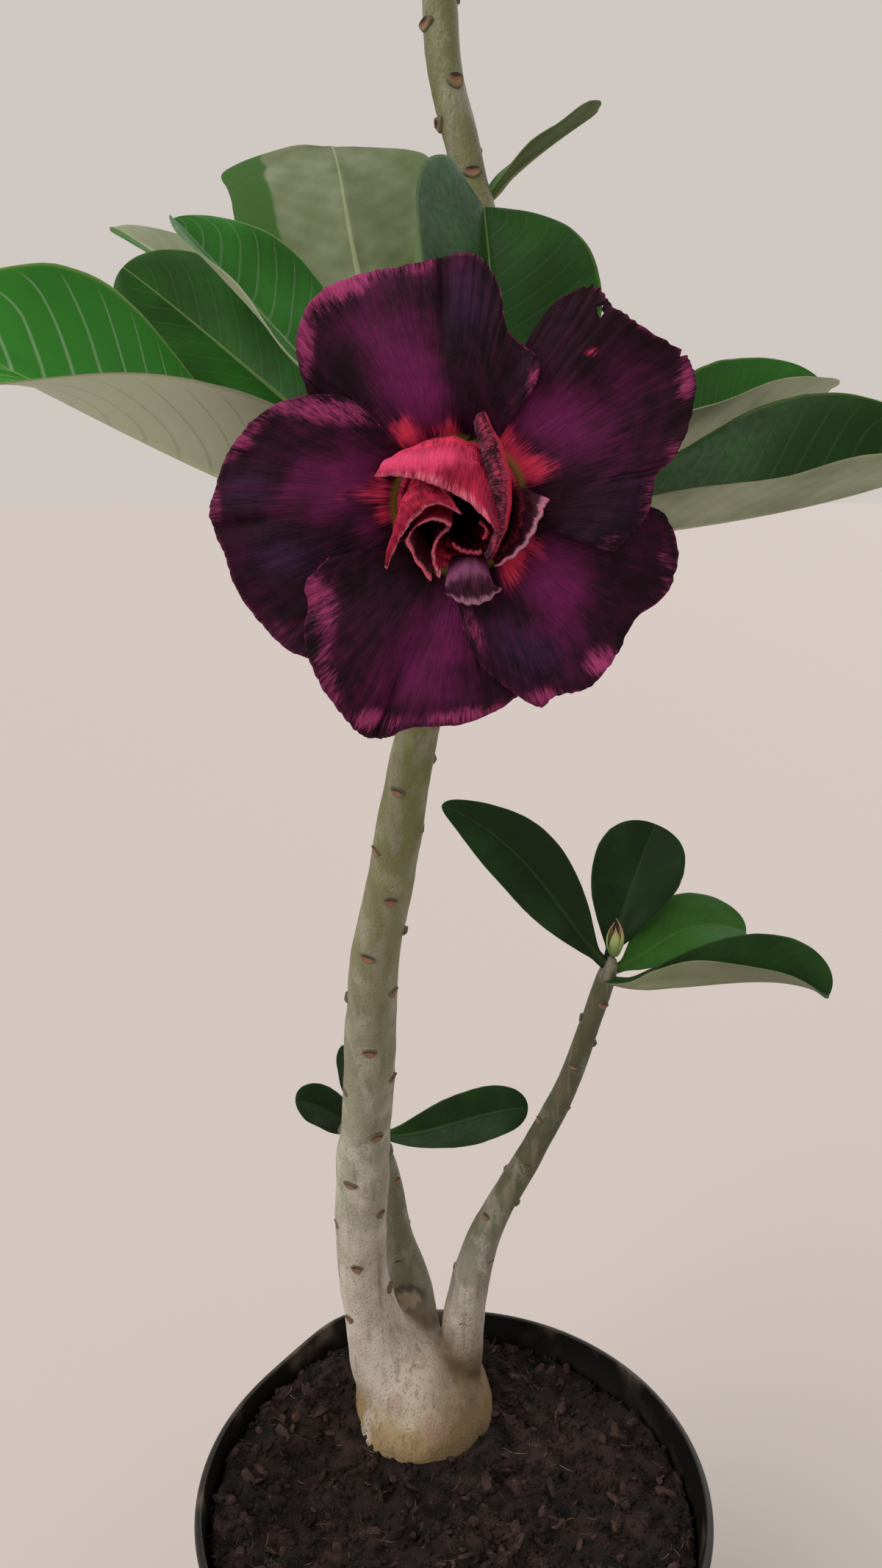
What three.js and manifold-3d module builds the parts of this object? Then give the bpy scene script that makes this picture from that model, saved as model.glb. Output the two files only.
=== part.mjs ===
// A potted desert rose (Adenium) in millimetres, +Z up. The origin is the centre of the pot's base.
// The plant stands behind the middle of the pot and leans forward to its bloom, which faces -Y.
import * as THREE from "three";
import { mergeVertices } from "three/addons/utils/BufferGeometryUtils.js";
import Module from "manifold-3d";

const wasm = await Module();
wasm.setup();

// ---- Driving dimensions ----

const CLEARANCE = 0.3; // between pieces that touch on the real plant
const WELD = 0.001; // vertices closer than this are one

const POT_HEIGHT = 130;
const POT_RIM_RADIUS = 75;
const POT_BASE_RADIUS = 50;
const POT_WALL = 2.2;
const POT_BAND_HEIGHT = 17; // the thicker band below the rim
const POT_BAND_STEP = 2.5; // how far the band stands out
const POT_SIDES = 36;
const RIM_PUSH = { angle: 118, spread: 15, out: 3.2 }; // the soft rim is pushed out a little at the back
const DRAIN_HOLES = 6;
const DRAIN_HOLE_RADIUS = 5;
const DRAIN_CIRCLE_RADIUS = 36;

const SOIL_TOP = 116;
const SOIL_MOUND = 6; // rise of the soil towards the plant's foot
const SOIL_LUMP = 1.4;
const FOOT = { x: -10.2, y: 40 }; // where the plant leaves the soil

const BLADE = 0.9; // thickness of a leaf blade
const LEAFSTALK = 1.7; // half width of a leaf stalk
const PETAL = 0.8; // thickness of a petal
const BLOOM_CENTRE = { x: -0.6, y: -86, z: 410.6 }; // middle of the throat's mouth

const DEGREES = Math.PI / 180;
const GOLDEN_ANGLE = 137.5 * DEGREES;
const UP = new THREE.Vector3(0, 0, 1);

// ---- Materials ----

const finish = (color, roughness) => new THREE.MeshStandardMaterial({ color, roughness, metalness: 0 });

const materials = {
  pot: finish(0x1b1917, 0.55),
  soil: finish(0x241b17, 0.95),
  bark: finish(0x7d7a5e, 0.7),
  leaf: finish(0x2b5f29, 0.35),
  shadedLeaf: finish(0x1d3f1c, 0.4),
  bud: finish(0x86a05a, 0.5),
  calyx: finish(0x5d7a3a, 0.6),
  outerPetals: finish(0x361030, 0.6),
  innerPetals: finish(0x8f2040, 0.55),
};

// ---- Solids and geometries ----

// A three.js geometry with its shared vertices merged and its collapsed faces left out, as a solid.
function toSolid(geometry) {
  const bare = geometry.clone();
  bare.deleteAttribute("normal");
  bare.deleteAttribute("uv");
  const merged = mergeVertices(bare, WELD);
  const corners = merged.index.array;
  const kept = [];
  for (let i = 0; i < corners.length; i += 3) {
    const [a, b, c] = [corners[i], corners[i + 1], corners[i + 2]];
    if (a !== b && b !== c && c !== a) kept.push(a, b, c);
  }
  return new wasm.Manifold(
    new wasm.Mesh({
      numProp: 3,
      vertProperties: new Float32Array(merged.attributes.position.array),
      triVerts: new Uint32Array(kept),
    }),
  );
}

function toGeometry(solid) {
  const mesh = solid.getMesh();
  const geometry = new THREE.BufferGeometry();
  geometry.setAttribute("position", new THREE.BufferAttribute(mesh.vertProperties.slice(), mesh.numProp));
  geometry.setIndex(new THREE.BufferAttribute(mesh.triVerts.slice(), 1));
  const flat = geometry.toNonIndexed();
  flat.computeVertexNormals();
  return flat;
}

// The largest body of a solid: trimmed-off scraps and sealed pockets are left out.
function mainBody(solid) {
  const bodies = solid.decompose();
  return bodies.reduce((best, body) => (body.volume() > best.volume() ? body : best));
}

const fuse = (solids) => mainBody(solids.reduce((whole, solid) => whole.add(solid)));

function named(name, solid, material) {
  const mesh = new THREE.Mesh(toGeometry(solid), material);
  mesh.name = name;
  return mesh;
}

const vector = ([x, y, z]) => new THREE.Vector3(x, y, z);

function geometryOf(points, faces) {
  const geometry = new THREE.BufferGeometry();
  const positions = points.flatMap((p) => [p.x, p.y, p.z]);
  geometry.setAttribute("position", new THREE.Float32BufferAttribute(positions, 3));
  geometry.setIndex(faces);
  return geometry;
}

// A closed skin over loops of equal length that run anticlockwise round the piece, with a cap at each end.
function loft(rings) {
  const sides = rings[0].length;
  const points = rings.flat();
  const faces = [];
  for (let r = 0; r + 1 < rings.length; r++)
    for (let i = 0; i < sides; i++) {
      const next = (i + 1) % sides;
      const [a, b] = [r * sides + i, r * sides + next];
      faces.push(a, b, b + sides, a, b + sides, a + sides);
    }
  const cap = (ring, first, turned) => {
    const middle = ring.reduce((sum, p) => sum.add(p), new THREE.Vector3()).divideScalar(sides);
    points.push(middle);
    for (let i = 0; i < sides; i++) {
      const [a, b] = [first + i, first + ((i + 1) % sides)];
      faces.push(points.length - 1, turned ? b : a, turned ? a : b);
    }
  };
  cap(rings[0], 0, true);
  cap(rings[rings.length - 1], (rings.length - 1) * sides, false);
  return geometryOf(points, faces);
}

// A thin closed sheet between two grids of points, split into triangles alike on both faces.
function sheet(upper, lower) {
  const rows = upper.length;
  const columns = upper[0].length;
  const top = (r, c) => r * columns + c;
  const under = (r, c) => rows * columns + r * columns + c;
  const faces = [];
  const quad = (a, b, c, d) => faces.push(a, b, c, a, c, d);
  for (let r = 0; r + 1 < rows; r++)
    for (let c = 0; c + 1 < columns; c++) {
      quad(top(r, c), top(r, c + 1), top(r + 1, c + 1), top(r + 1, c));
      faces.push(under(r, c), under(r + 1, c + 1), under(r, c + 1));
      faces.push(under(r, c), under(r + 1, c), under(r + 1, c + 1));
    }
  const [lastRow, lastColumn] = [rows - 1, columns - 1];
  for (let c = 0; c < lastColumn; c++) {
    quad(top(0, c + 1), top(0, c), under(0, c), under(0, c + 1));
    quad(top(lastRow, c), top(lastRow, c + 1), under(lastRow, c + 1), under(lastRow, c));
  }
  for (let r = 0; r < lastRow; r++) {
    quad(top(r, 0), top(r + 1, 0), under(r + 1, 0), under(r, 0));
    quad(top(r + 1, lastColumn), top(r, lastColumn), under(r, lastColumn), under(r + 1, lastColumn));
  }
  return geometryOf([...upper.flat(), ...lower.flat()], faces);
}

// ---- Pot ----

function potSolid() {
  const band = POT_HEIGHT - POT_BAND_HEIGHT;
  const bodyTop = POT_RIM_RADIUS - POT_BAND_STEP - 1.5;
  const profile = [
    [0, 0],
    [POT_BASE_RADIUS, 0],
    [bodyTop, band],
    [bodyTop + POT_BAND_STEP, band + 1],
    [POT_RIM_RADIUS - 0.8, POT_HEIGHT - 5],
    [POT_RIM_RADIUS, POT_HEIGHT - 4],
    [POT_RIM_RADIUS, POT_HEIGHT - 1],
    [POT_RIM_RADIUS - 1, POT_HEIGHT],
    [POT_RIM_RADIUS - POT_WALL, POT_HEIGHT],
    [bodyTop + POT_BAND_STEP - POT_WALL, band + 3],
    [bodyTop - POT_WALL, band - 1],
    [POT_BASE_RADIUS - POT_WALL, POT_WALL],
    [0, POT_WALL],
  ].map(([r, z]) => new THREE.Vector2(r, z));
  const shell = new THREE.LatheGeometry(profile, POT_SIDES).rotateX(Math.PI / 2);
  const corners = shell.attributes.position;
  for (let i = 0; i < corners.count; i++) {
    const [x, y, z] = [corners.getX(i), corners.getY(i), corners.getZ(i)];
    const away = Math.atan2(y, x) / DEGREES - RIM_PUSH.angle;
    const high = THREE.MathUtils.smoothstep(z, band - 4, POT_HEIGHT);
    const push = high * Math.exp(-((away / RIM_PUSH.spread) ** 2));
    const grow = 1 + (RIM_PUSH.out * push) / POT_RIM_RADIUS;
    corners.setXYZ(i, x * grow, y * grow, z + RIM_PUSH.out * push);
  }
  let pot = toSolid(shell);
  for (let i = 0; i < DRAIN_HOLES; i++) {
    const angle = (i * 2 * Math.PI) / DRAIN_HOLES;
    const hole = new THREE.CylinderGeometry(DRAIN_HOLE_RADIUS, DRAIN_HOLE_RADIUS, 4 * POT_WALL, 10);
    hole.rotateX(Math.PI / 2);
    hole.translate(DRAIN_CIRCLE_RADIUS * Math.cos(angle), DRAIN_CIRCLE_RADIUS * Math.sin(angle), 0);
    pot = pot.subtract(toSolid(hole));
  }
  return pot;
}

// ---- Soil ----

// Inner radius of the pot at a height below its band.
function potInnerRadius(z) {
  const bodyTop = POT_RIM_RADIUS - POT_BAND_STEP - 1.5 - POT_WALL;
  const low = POT_BASE_RADIUS - POT_WALL;
  const share = (z - POT_WALL) / (POT_HEIGHT - POT_BAND_HEIGHT - 1 - POT_WALL);
  return low + (bodyTop - low) * share;
}

// Height of the soil's surface: a low mound round the foot, and lumps made of a few crossing waves.
function soilHeight(x, y) {
  const away = Math.hypot(x - FOOT.x, y - FOOT.y);
  const mound = SOIL_MOUND * Math.exp(-((away / 34) ** 2));
  const lumps =
    Math.sin(x * 0.31 + 1.3 * Math.sin(y * 0.17)) * Math.cos(y * 0.27 + 0.8 * Math.sin(x * 0.21)) +
    0.6 * Math.sin(x * 0.63 + 2) * Math.sin(y * 0.57 + 1);
  return SOIL_TOP + mound + SOIL_LUMP * lumps;
}

function soilSolid() {
  const sides = 30;
  const surfaceRings = 8;
  const foot = POT_WALL + CLEARANCE;
  const ringAt = (radius, height) =>
    Array.from({ length: sides }, (_, i) => {
      const angle = (i * 2 * Math.PI) / sides;
      const [x, y] = [radius * Math.cos(angle), radius * Math.sin(angle)];
      return new THREE.Vector3(x, y, height === undefined ? soilHeight(x, y) : height);
    });
  const wallClear = 0.6;
  const wallTop = POT_HEIGHT - POT_BAND_HEIGHT - 4;
  const wide = potInnerRadius(wallTop) - wallClear;
  const rings = [ringAt(potInnerRadius(foot) - wallClear, foot), ringAt(wide, wallTop)];
  for (let k = 0; k < surfaceRings; k++) rings.push(ringAt(wide * (1 - k / surfaceRings)));
  return toSolid(loft(rings));
}

// ---- Plant: foot, stems and spur, grown as one piece ----

// Each station is x, y, z and the diameter there.
const MAIN_STEM = [
  [-8.5, 40, 98, 26],
  [-9.8, 40, 108, 43],
  [-10.6, 40, 120, 47.5],
  [-14.6, 40, 131, 39.5],
  [-20.5, 40, 141, 27],
  [-25, 39, 152, 19],
  [-27.5, 38, 166, 16.4],
  [-28.7, 37, 183, 15.8],
  [-27.7, 33, 210, 16.4],
  [-25.1, 26, 238.5, 15.2],
  [-23.4, 18, 266, 14.5],
  [-21.4, 10, 291, 13.8],
  [-16.8, 2, 315, 12.2],
  [-13.2, -6, 337, 11.4],
  [-9.4, -13, 357, 10.2],
  [-5, -20, 376, 9.6],
  [-1.7, -24, 392, 9.2],
  [2.6, -26, 423, 8.8],
  [4.8, -22, 449, 8.8],
  [4.4, -17, 466, 8.4],
  [2.5, -14, 476, 7.7],
  [1, -12, 484, 7.8],
  [-2.8, -8, 499, 7.6],
  [-3.9, -5, 514, 7.8],
  [-3.6, -2, 532, 7.4],
  [-2, 0, 548, 6.6],
  [-1, 1, 560, 4.4],
  [-0.6, 1.5, 567, 1.6],
];
const MIDDLE_STEM = [
  [-8, 44, 122, 18],
  [-11, 48, 140, 14],
  [-14, 56, 156, 12.3],
  [-18.5, 60, 171, 10.2],
  [-21.5, 62, 190, 9],
  [-25.6, 62, 205, 7.6],
  [-27.4, 62, 213, 5.6],
  [-27.8, 62, 217, 2],
];
const RIGHT_STEM = [
  [-2, 41, 118, 22],
  [2.3, 42, 136, 15.5],
  [4.4, 42, 159, 13],
  [8.5, 42, 178, 10.8],
  [15, 42, 194, 9.4],
  [25, 41, 214, 8.2],
  [34.6, 40, 236, 7.2],
  [40.4, 38, 256, 6.6],
  [44.6, 36.4, 272, 6.2],
  [46.3, 36, 278, 4.4],
  [46.8, 36, 280.5, 2],
];
const SPUR = [
  [1.4, -24, 400, 6],
  [0.4, -31, 402.4, 7.4],
  [-0.4, -38, 403.6, 7],
  [-0.9, -42.5, 404.2, 5],
  [-1, -44.5, 404.4, 2.2],
];

// A stem through its stations: the loops are square to the route, and the foot's are a little lobed.
function stemSolid(stations, sides, steps, grow = 0, lobes = 0) {
  const route = new THREE.CatmullRomCurve3(stations.map(vector), false, "centripetal");
  const spans = stations.length - 1;
  const count = spans * steps;
  const rings = [];
  for (let k = 0; k <= count; k++) {
    const t = k / count;
    const along = route.getTangent(t);
    const first = new THREE.Vector3(1, 0, 0).addScaledVector(along, -along.x).normalize();
    const second = new THREE.Vector3().crossVectors(along, first);
    const centre = route.getPoint(t);
    const at = Math.min(Math.floor(t * spans), spans - 1);
    const share = THREE.MathUtils.smoothstep(t * spans - at, 0, 1);
    const radius = THREE.MathUtils.lerp(stations[at][3], stations[at + 1][3], share) / 2;
    const fat = THREE.MathUtils.smoothstep(radius, 9, 20);
    rings.push(
      Array.from({ length: sides }, (_, i) => {
        const angle = (i * 2 * Math.PI) / sides;
        const lobe = 1 + lobes * fat * (Math.sin(3 * angle + 0.6) + 0.6 * Math.sin(5 * angle + 2));
        const out = radius * lobe + grow;
        return centre
          .clone()
          .addScaledVector(first, out * Math.cos(angle))
          .addScaledVector(second, out * Math.sin(angle));
      }),
    );
  }
  return toSolid(loft(rings));
}

const FOOT_LOBES = 0.035;

const stems = (grow) => [
  stemSolid(MAIN_STEM, 12, 1, grow, FOOT_LOBES),
  stemSolid(MIDDLE_STEM, 8, 1, grow),
  stemSolid(RIGHT_STEM, 8, 1, grow),
  stemSolid(SPUR, 8, 1, grow),
];

// Low oval scars where old leaves fell, in a spiral up a stem.
function leafScars(stations, from, to, spacing, size) {
  const route = new THREE.CatmullRomCurve3(stations.map(vector), false, "centripetal");
  const spans = stations.length - 1;
  const scars = [];
  let turn = 0;
  for (let z = from; z < to; z += spacing) {
    let t = 0;
    while (t < 1 && route.getPoint(t).z < z) t += 0.004;
    const at = Math.min(Math.floor(t * spans), spans - 1);
    const radius = THREE.MathUtils.lerp(stations[at][3], stations[at + 1][3], t * spans - at) / 2;
    const angle = turn * GOLDEN_ANGLE - Math.PI / 2;
    const out = new THREE.Vector3(Math.cos(angle), Math.sin(angle), 0);
    const scar = new THREE.OctahedronGeometry(1, 0);
    scar.scale(size * 0.7, size * 1.6, size);
    scar.rotateZ(angle);
    const place = route.getPoint(t).addScaledVector(out, radius * 0.97);
    scar.translate(place.x, place.y, place.z);
    scars.push(toSolid(scar));
    turn += 1;
  }
  return scars;
}

function plantSolid() {
  return fuse([
    ...stems(0),
    ...leafScars(MAIN_STEM, 172, 392, 14.5, 1.9),
    ...leafScars(MAIN_STEM, 416, 540, 15, 1.5),
    ...leafScars(RIGHT_STEM, 150, 262, 18, 1.4),
    ...leafScars(MIDDLE_STEM, 150, 200, 22, 1.5),
  ]);
}

// ---- Leaves ----

// route: the midrib as a cubic from the stem to the tip. face: where the upper side looks.
// fold: how far each half rises from flat, in degrees: left at the stalk and at the tip, then right.
// curl: how far the left and the right margin bend up, as a share of the half width.
const LEAVES = {
  left_long: {
    route: [[-2, -41, 402.6], [-36, -50, 407], [-68.5, -68.5, 429], [-97, -64, 441]],
    face: [0, -0.3, 1],
    halfWidth: 24.5,
    fold: [128, -17, -34, 76],
    curl: [0, 0.05],
    ripple: 0.8,
  },
  left_upper: {
    route: [[-2, -41.5, 405], [-25, -26, 432.5], [-42, -20.5, 449], [-60.5, -19.5, 469]],
    face: [0.51, -0.38, 0.77],
    halfWidth: 19.5,
    fold: [22, 20, 22, 20],
    curl: [0.05, 0.05],
    ripple: 0.8,
  },
  left_back: {
    route: [[-1, -35, 405], [-25.5, -20.5, 420], [-51.5, -5, 444.5], [-75.5, -4.5, 462]],
    face: [0.1, -0.9, 0.45],
    halfWidth: 16,
    fold: [20, 15, 20, 15],
    curl: [-0.05, -0.05],
    ripple: 0.7,
  },
  left_hidden: {
    route: [[0, -24, 409], [-34.5, 4, 433], [-55, 20, 461], [-84.5, 21.5, 475]],
    face: [0.35, -0.35, 0.85],
    halfWidth: 12,
    fold: [30, 25, 30, 25],
    curl: [0, 0],
    ripple: 0.7,
  },
  top_left: {
    route: [[-0.5, -31, 406.5], [-25, -8, 444], [-25, 6, 484], [-31, 32, 496]],
    face: [-0.12, 0.9, -0.25],
    halfWidth: 27,
    fold: [16, 8, 20, 10],
    curl: [-0.12, -0.05],
    ripple: 1,
  },
  top: {
    route: [[1.2, -40, 406], [9, -34.5, 431.5], [7, -42, 446.5], [5, -27.5, 469.5]],
    face: [0, -1, 0.15],
    halfWidth: 22,
    fold: [52, 48, 12, 8],
    curl: [0, -0.08],
    ripple: 0.8,
  },
  right_upper: {
    route: [[1, -35, 403], [43, -30.5, 418.5], [56, -36, 421], [79, -26, 434]],
    face: [0, -0.1, 1],
    halfWidth: 17.5,
    fold: [44, 58, 66, 50],
    curl: [0.05, 0],
    ripple: 0.8,
  },
  right_lower: {
    route: [[1, -41, 401], [43.5, -48.5, 407], [63, -57.5, 408], [91.5, -57, 418]],
    face: [0, -0.1, 1],
    halfWidth: 21,
    fold: [36, 82, 26, 18],
    curl: [0, 0.05],
    ripple: 0.8,
  },
  edge_on: {
    route: [[3.2, -15, 471], [12, -12, 481], [21, -8.5, 486.8], [30.5, -3.5, 493.5]],
    face: [-0.57, -0.13, 0.68],
    halfWidth: 9,
    fold: [15, 10, 15, 10],
    curl: [0, 0],
    ripple: 0.3,
  },
  side_a: {
    route: [[45.6, 36, 277], [31.5, 33, 290], [24, 31, 316], [-4, 32, 328]],
    face: [0.25, -0.95, 0.25],
    halfWidth: 11.2,
    fold: [20, 20, 20, 20],
    curl: [0, 0],
    ripple: 0.5,
    shaded: true,
  },
  side_b: {
    route: [[45.8, 38, 278], [49.5, 45.5, 287.5], [57, 56, 303], [62.5, 61, 314]],
    face: [-0.2, -0.8, 0.5],
    halfWidth: 14,
    fold: [14, 10, 14, 10],
    curl: [0, 0],
    ripple: 0.5,
    shaded: true,
  },
  side_c: {
    route: [[46.4, 37, 275.6], [59, 39, 277.5], [66.5, 43.5, 293.5], [89.5, 49, 283]],
    face: [-0.1, -0.6, 0.8],
    halfWidth: 11.5,
    fold: [15, 10, 15, 10],
    curl: [0, 0],
    ripple: 0.5,
    shaded: true,
  },
  side_d: {
    route: [[45.2, 34.8, 273.6], [65.5, 26, 272], [89.5, 25, 284], [107, 20, 275]],
    face: [0, -0.3, 1],
    halfWidth: 13,
    fold: [62, 48, 58, -4],
    curl: [0, 0],
    ripple: 0.5,
    shaded: true,
  },
  middle_a: {
    route: [[-27, 61, 208], [-35, 61, 209.5], [-43, 54.5, 224], [-50.5, 53, 223.5]],
    face: [0.2, -0.7, 0.7],
    halfWidth: 7.2,
    fold: [20, 15, 20, 15],
    curl: [0, 0],
    ripple: 0.3,
    shaded: true,
  },
  middle_b: {
    route: [[-27, 63.4, 210.6], [-35.5, 75, 210], [-36, 77, 223], [-37, 80.5, 230]],
    face: [1, 0.2, 0.3],
    halfWidth: 6,
    fold: [15, 10, 15, 10],
    curl: [0, 0],
    ripple: 0.2,
    shaded: true,
  },
  middle_c: {
    route: [[-26, 62, 207], [-11.5, 60.5, 204], [10, 56, 220.5], [25, 56, 219.6]],
    face: [0.1, -0.8, 0.6],
    halfWidth: 9,
    fold: [25, 15, 20, 15],
    curl: [0, 0],
    ripple: 0.4,
    shaded: true,
  },
};

// The young leaves round the stem's tip, each a golden angle on from the last, shorter and steeper upwards.
const TIP_LEAVES = 7;
const TIP_LEAF_LENGTH = 72;

function tipLeaf(index) {
  const angle = index * GOLDEN_ANGLE + 0.7;
  const length = TIP_LEAF_LENGTH - 5.5 * index;
  const rise = (26 + 7 * index) * DEGREES;
  const base = new THREE.Vector3(-2.6 + 0.25 * index, -1 + 0.3 * index, 541 + 3 * index);
  const out = new THREE.Vector3(Math.cos(angle), Math.sin(angle), 0);
  const at = (share, droop) =>
    base
      .clone()
      .addScaledVector(out, length * share * Math.cos(rise))
      .addScaledVector(UP, length * (share * Math.sin(rise) - droop))
      .toArray();
  return {
    route: [at(0, 0), at(0.33, -0.06), at(0.67, -0.04), at(1, 0.1)],
    face: [-out.x * 0.4, -out.y * 0.4, 1],
    halfWidth: 0.21 * length,
    fold: [22, 12, 22, 12],
    curl: [-0.04, -0.04],
    ripple: 0.5,
  };
}

// Half width of the blade as a share of its widest, from the stalk's end (0) to the rounded tip (1).
const BLADE_FROM = 0.08;
const outline = (u) => (Math.pow(u, 0.95) * Math.pow(1 - u, 0.5)) / 0.393;

const LEAF_ROWS = [0, 0.07, 0.16, 0.28, 0.42, 0.56, 0.69, 0.8, 0.89, 0.96, 1];
const LEAF_COLUMNS = [-1, -0.66, -0.33, 0, 0.33, 0.66, 1];
const SMALL_LEAF_ROWS = [0, 0.08, 0.18, 0.33, 0.5, 0.67, 0.82, 0.93, 1];
const SMALL_LEAF_COLUMNS = [-1, -0.5, 0, 0.5, 1];

function leafSolid(leaf, rowsAt, columnsAt) {
  const rib = new THREE.CubicBezierCurve3(...leaf.route.map(vector));
  const face = vector(leaf.face);
  const upper = [];
  const lower = [];
  for (const s of rowsAt) {
    const centre = rib.getPoint(s);
    const along = rib.getTangent(Math.min(s, 0.999));
    const side = new THREE.Vector3().crossVectors(along, face).normalize();
    const normal = new THREE.Vector3().crossVectors(side, along);
    const u = Math.max(0, (s - BLADE_FROM) / (1 - BLADE_FROM));
    const half = Math.hypot(LEAFSTALK * Math.pow(1 - u, 1.5), leaf.halfWidth * outline(Math.min(u, 1)));
    const opening = THREE.MathUtils.smoothstep(s, 0, 0.22);
    const stalkDepth = 1.1 * (1 - THREE.MathUtils.smoothstep(s, 0.04, 0.3));
    upper.push([]);
    lower.push([]);
    for (const t of columnsAt) {
      const [sign, first] = t < 0 ? [-1, 0] : [1, 2];
      const [atStalk, atTip] = leaf.fold.slice(first, first + 2);
      const bend = leaf.curl[first / 2];
      const rise = THREE.MathUtils.lerp(atStalk, atTip, s) * opening * DEGREES;
      const reach = Math.abs(t) * half;
      const out = side.clone().multiplyScalar(sign * Math.cos(rise)).addScaledVector(normal, Math.sin(rise));
      const lift = new THREE.Vector3().crossVectors(out, along).multiplyScalar(sign);
      const wave = leaf.ripple * Math.sin(15 * s + 2 * sign) * opening;
      const point = centre
        .clone()
        .addScaledVector(out, reach)
        .addScaledVector(lift, t * t * (bend * half + wave * Math.min(1, half / 6)));
      const facing = t === 0 ? normal : lift;
      const keel = (1 - Math.abs(t)) ** 3 * 1.3 * (1 - s) * opening;
      const round = stalkDepth * (1 - t * t);
      upper[upper.length - 1].push(point.clone().addScaledVector(facing, BLADE / 2 + round * 0.4));
      lower[lower.length - 1].push(point.clone().addScaledVector(facing, -BLADE / 2 - keel - round));
    }
  }
  return toSolid(sheet(upper, lower));
}

// ---- Bud at the tip of the right-hand stem ----

function budSolid() {
  const profile = [[0, 0], [2.1, 0.4], [2.9, 3], [2.6, 6.5], [1.6, 9.5], [0, 11.5]];
  const bud = new THREE.LatheGeometry(
    profile.map(([r, z]) => new THREE.Vector2(r, z)),
    8,
  );
  bud.rotateX(Math.PI / 2);
  bud.translate(47, 35.2, 280.9);
  return toSolid(bud);
}

// ---- Bloom, in its own frame: x right, y up, z out of the throat ----

// The tube's route from the throat back to the calyx, with its outer radius.
const TUBE = [
  [0, 0, -4, 10.8],
  [0, 0, -6, 10.2],
  [-0.1, -0.4, -12, 8.6],
  [-0.2, -1.4, -20, 7.2],
  [-0.3, -3.4, -28, 5.2],
  [-0.4, -5.4, -35, 3.2],
  [-0.4, -6.3, -38.5, 2.2],
];
const TUBE_WALL = 0.9;
const TUBE_SIDES = 14;
const NESTED = TUBE_WALL + CLEARANCE; // how much smaller each inner corolla's tube is

// A cup between two depths of the tube, shrunk by an inset all round.
function cupSolid(top, bottom, inset, floor) {
  const ringsFor = (less, deepest) => {
    const rings = [];
    const depths = TUBE.map((station) => station[2]).filter((z) => z < top && z > deepest);
    for (const z of [top, ...depths, deepest]) {
      const at = Math.max(
        0,
        TUBE.findIndex((station, i) => i + 1 < TUBE.length && z <= station[2] && z >= TUBE[i + 1][2]),
      );
      const [from, to] = [TUBE[at], TUBE[at + 1]];
      const share = (z - from[2]) / (to[2] - from[2]);
      const [x, y, , radius] = from.map((value, i) => THREE.MathUtils.lerp(value, to[i], share));
      rings.push(
        Array.from({ length: TUBE_SIDES }, (_, i) => {
          const angle = (i * 2 * Math.PI) / TUBE_SIDES;
          return new THREE.Vector3(
            x + (radius - less) * Math.cos(angle),
            y + (radius - less) * Math.sin(angle),
            z,
          );
        }),
      );
    }
    return rings;
  };
  const outer = ringsFor(inset, bottom);
  const inner = ringsFor(inset + TUBE_WALL, bottom + floor);
  return toSolid(loft([...outer.reverse(), ...inner]));
}

// Outer lobes: each rim runs clockwise, starts under the lobe before it and ends over the next one.
// from, to: where the lobe's root leaves the throat, in degrees.
const LOBES = [
  {
    from: 155,
    to: 60,
    rim: [
      [-17, 6], [-23, 13.5], [-26, 21], [-26.5, 27], [-23, 33.5], [-17, 36.3], [-8, 37.7],
      [-1, 39], [3, 38.5], [6.2, 33.5], [7.5, 27.5], [12.8, 22.5], [11, 17],
    ],
  },
  {
    from: 85,
    to: -15,
    rim: [
      [5, 14], [10.5, 25], [16, 32.5], [22, 34.5], [24.5, 31.5], [29.6, 28.2], [37, 24],
      [38.8, 20.4], [37.8, 13], [35, 7.5], [32.5, 5], [31, -1.5], [25.5, -7.5],
    ],
  },
  {
    from: 5,
    to: -85,
    rim: [
      [20, -2], [29, 0], [34, -1], [37.4, -8], [35.5, -15], [30.5, -19], [27.3, -25],
      [22.5, -30.5], [16.5, -32.3], [14.5, -34.2], [9, -31], [3, -25.5], [-0.5, -16.5],
    ],
  },
  {
    from: -65,
    to: -150,
    rim: [
      [9, -20], [12, -30], [8.5, -34], [1, -37.3], [-8, -38], [-13.5, -40.4], [-17, -39.8],
      [-20.7, -35], [-24.9, -28], [-26.4, -21], [-25.6, -16.5], [-26, -13], [-22, -8.5],
    ],
  },
  {
    from: 220,
    to: 135,
    rim: [
      [-16, -16], [-23.5, -25.5], [-28.8, -25], [-34.4, -20], [-38.4, -13.5], [-39.8, -8], [-42, -2],
      [-41, 2.5], [-38.3, 8.7], [-33.5, 14], [-27, 17], [-18, 16.8], [-10.5, 9.5],
    ],
  },
];
const LOBE_ROOT = 10.6; // radius at which the lobes leave the throat
const LOBE_ROOT_DEPTH = 5;
const LOBE_FLARE = 5; // how fast the throat opens out
const LOBE_REACH = 39; // radius of the open bloom
const LOBE_TILT = 2.4; // how far the covering edge stands in front of the covered one
const LOBE_DROOP = 2.4; // how far the rim bends back
const LOBE_RIPPLE = 0.9;

// The point of a lobe at a share across it and a share outwards.
function lobePoint(lobe, rim, across, outwards) {
  const angle = THREE.MathUtils.lerp(lobe.from, lobe.to, across) * DEGREES;
  const root = new THREE.Vector3(LOBE_ROOT * Math.cos(angle), LOBE_ROOT * Math.sin(angle), 0);
  const point = root.lerp(rim.getPoint(across), outwards);
  const radius = point.length();
  const funnel = LOBE_ROOT_DEPTH * Math.exp((LOBE_ROOT - radius) / LOBE_FLARE);
  const spread = THREE.MathUtils.smoothstep(radius, LOBE_ROOT, 26);
  const far = radius / LOBE_REACH;
  const ripple = LOBE_RIPPLE * far * far * Math.sin(16 * across + lobe.from);
  point.z = LOBE_TILT * (2 * across - 1) * spread + ripple - funnel - LOBE_DROOP * far * far;
  return point;
}

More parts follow.
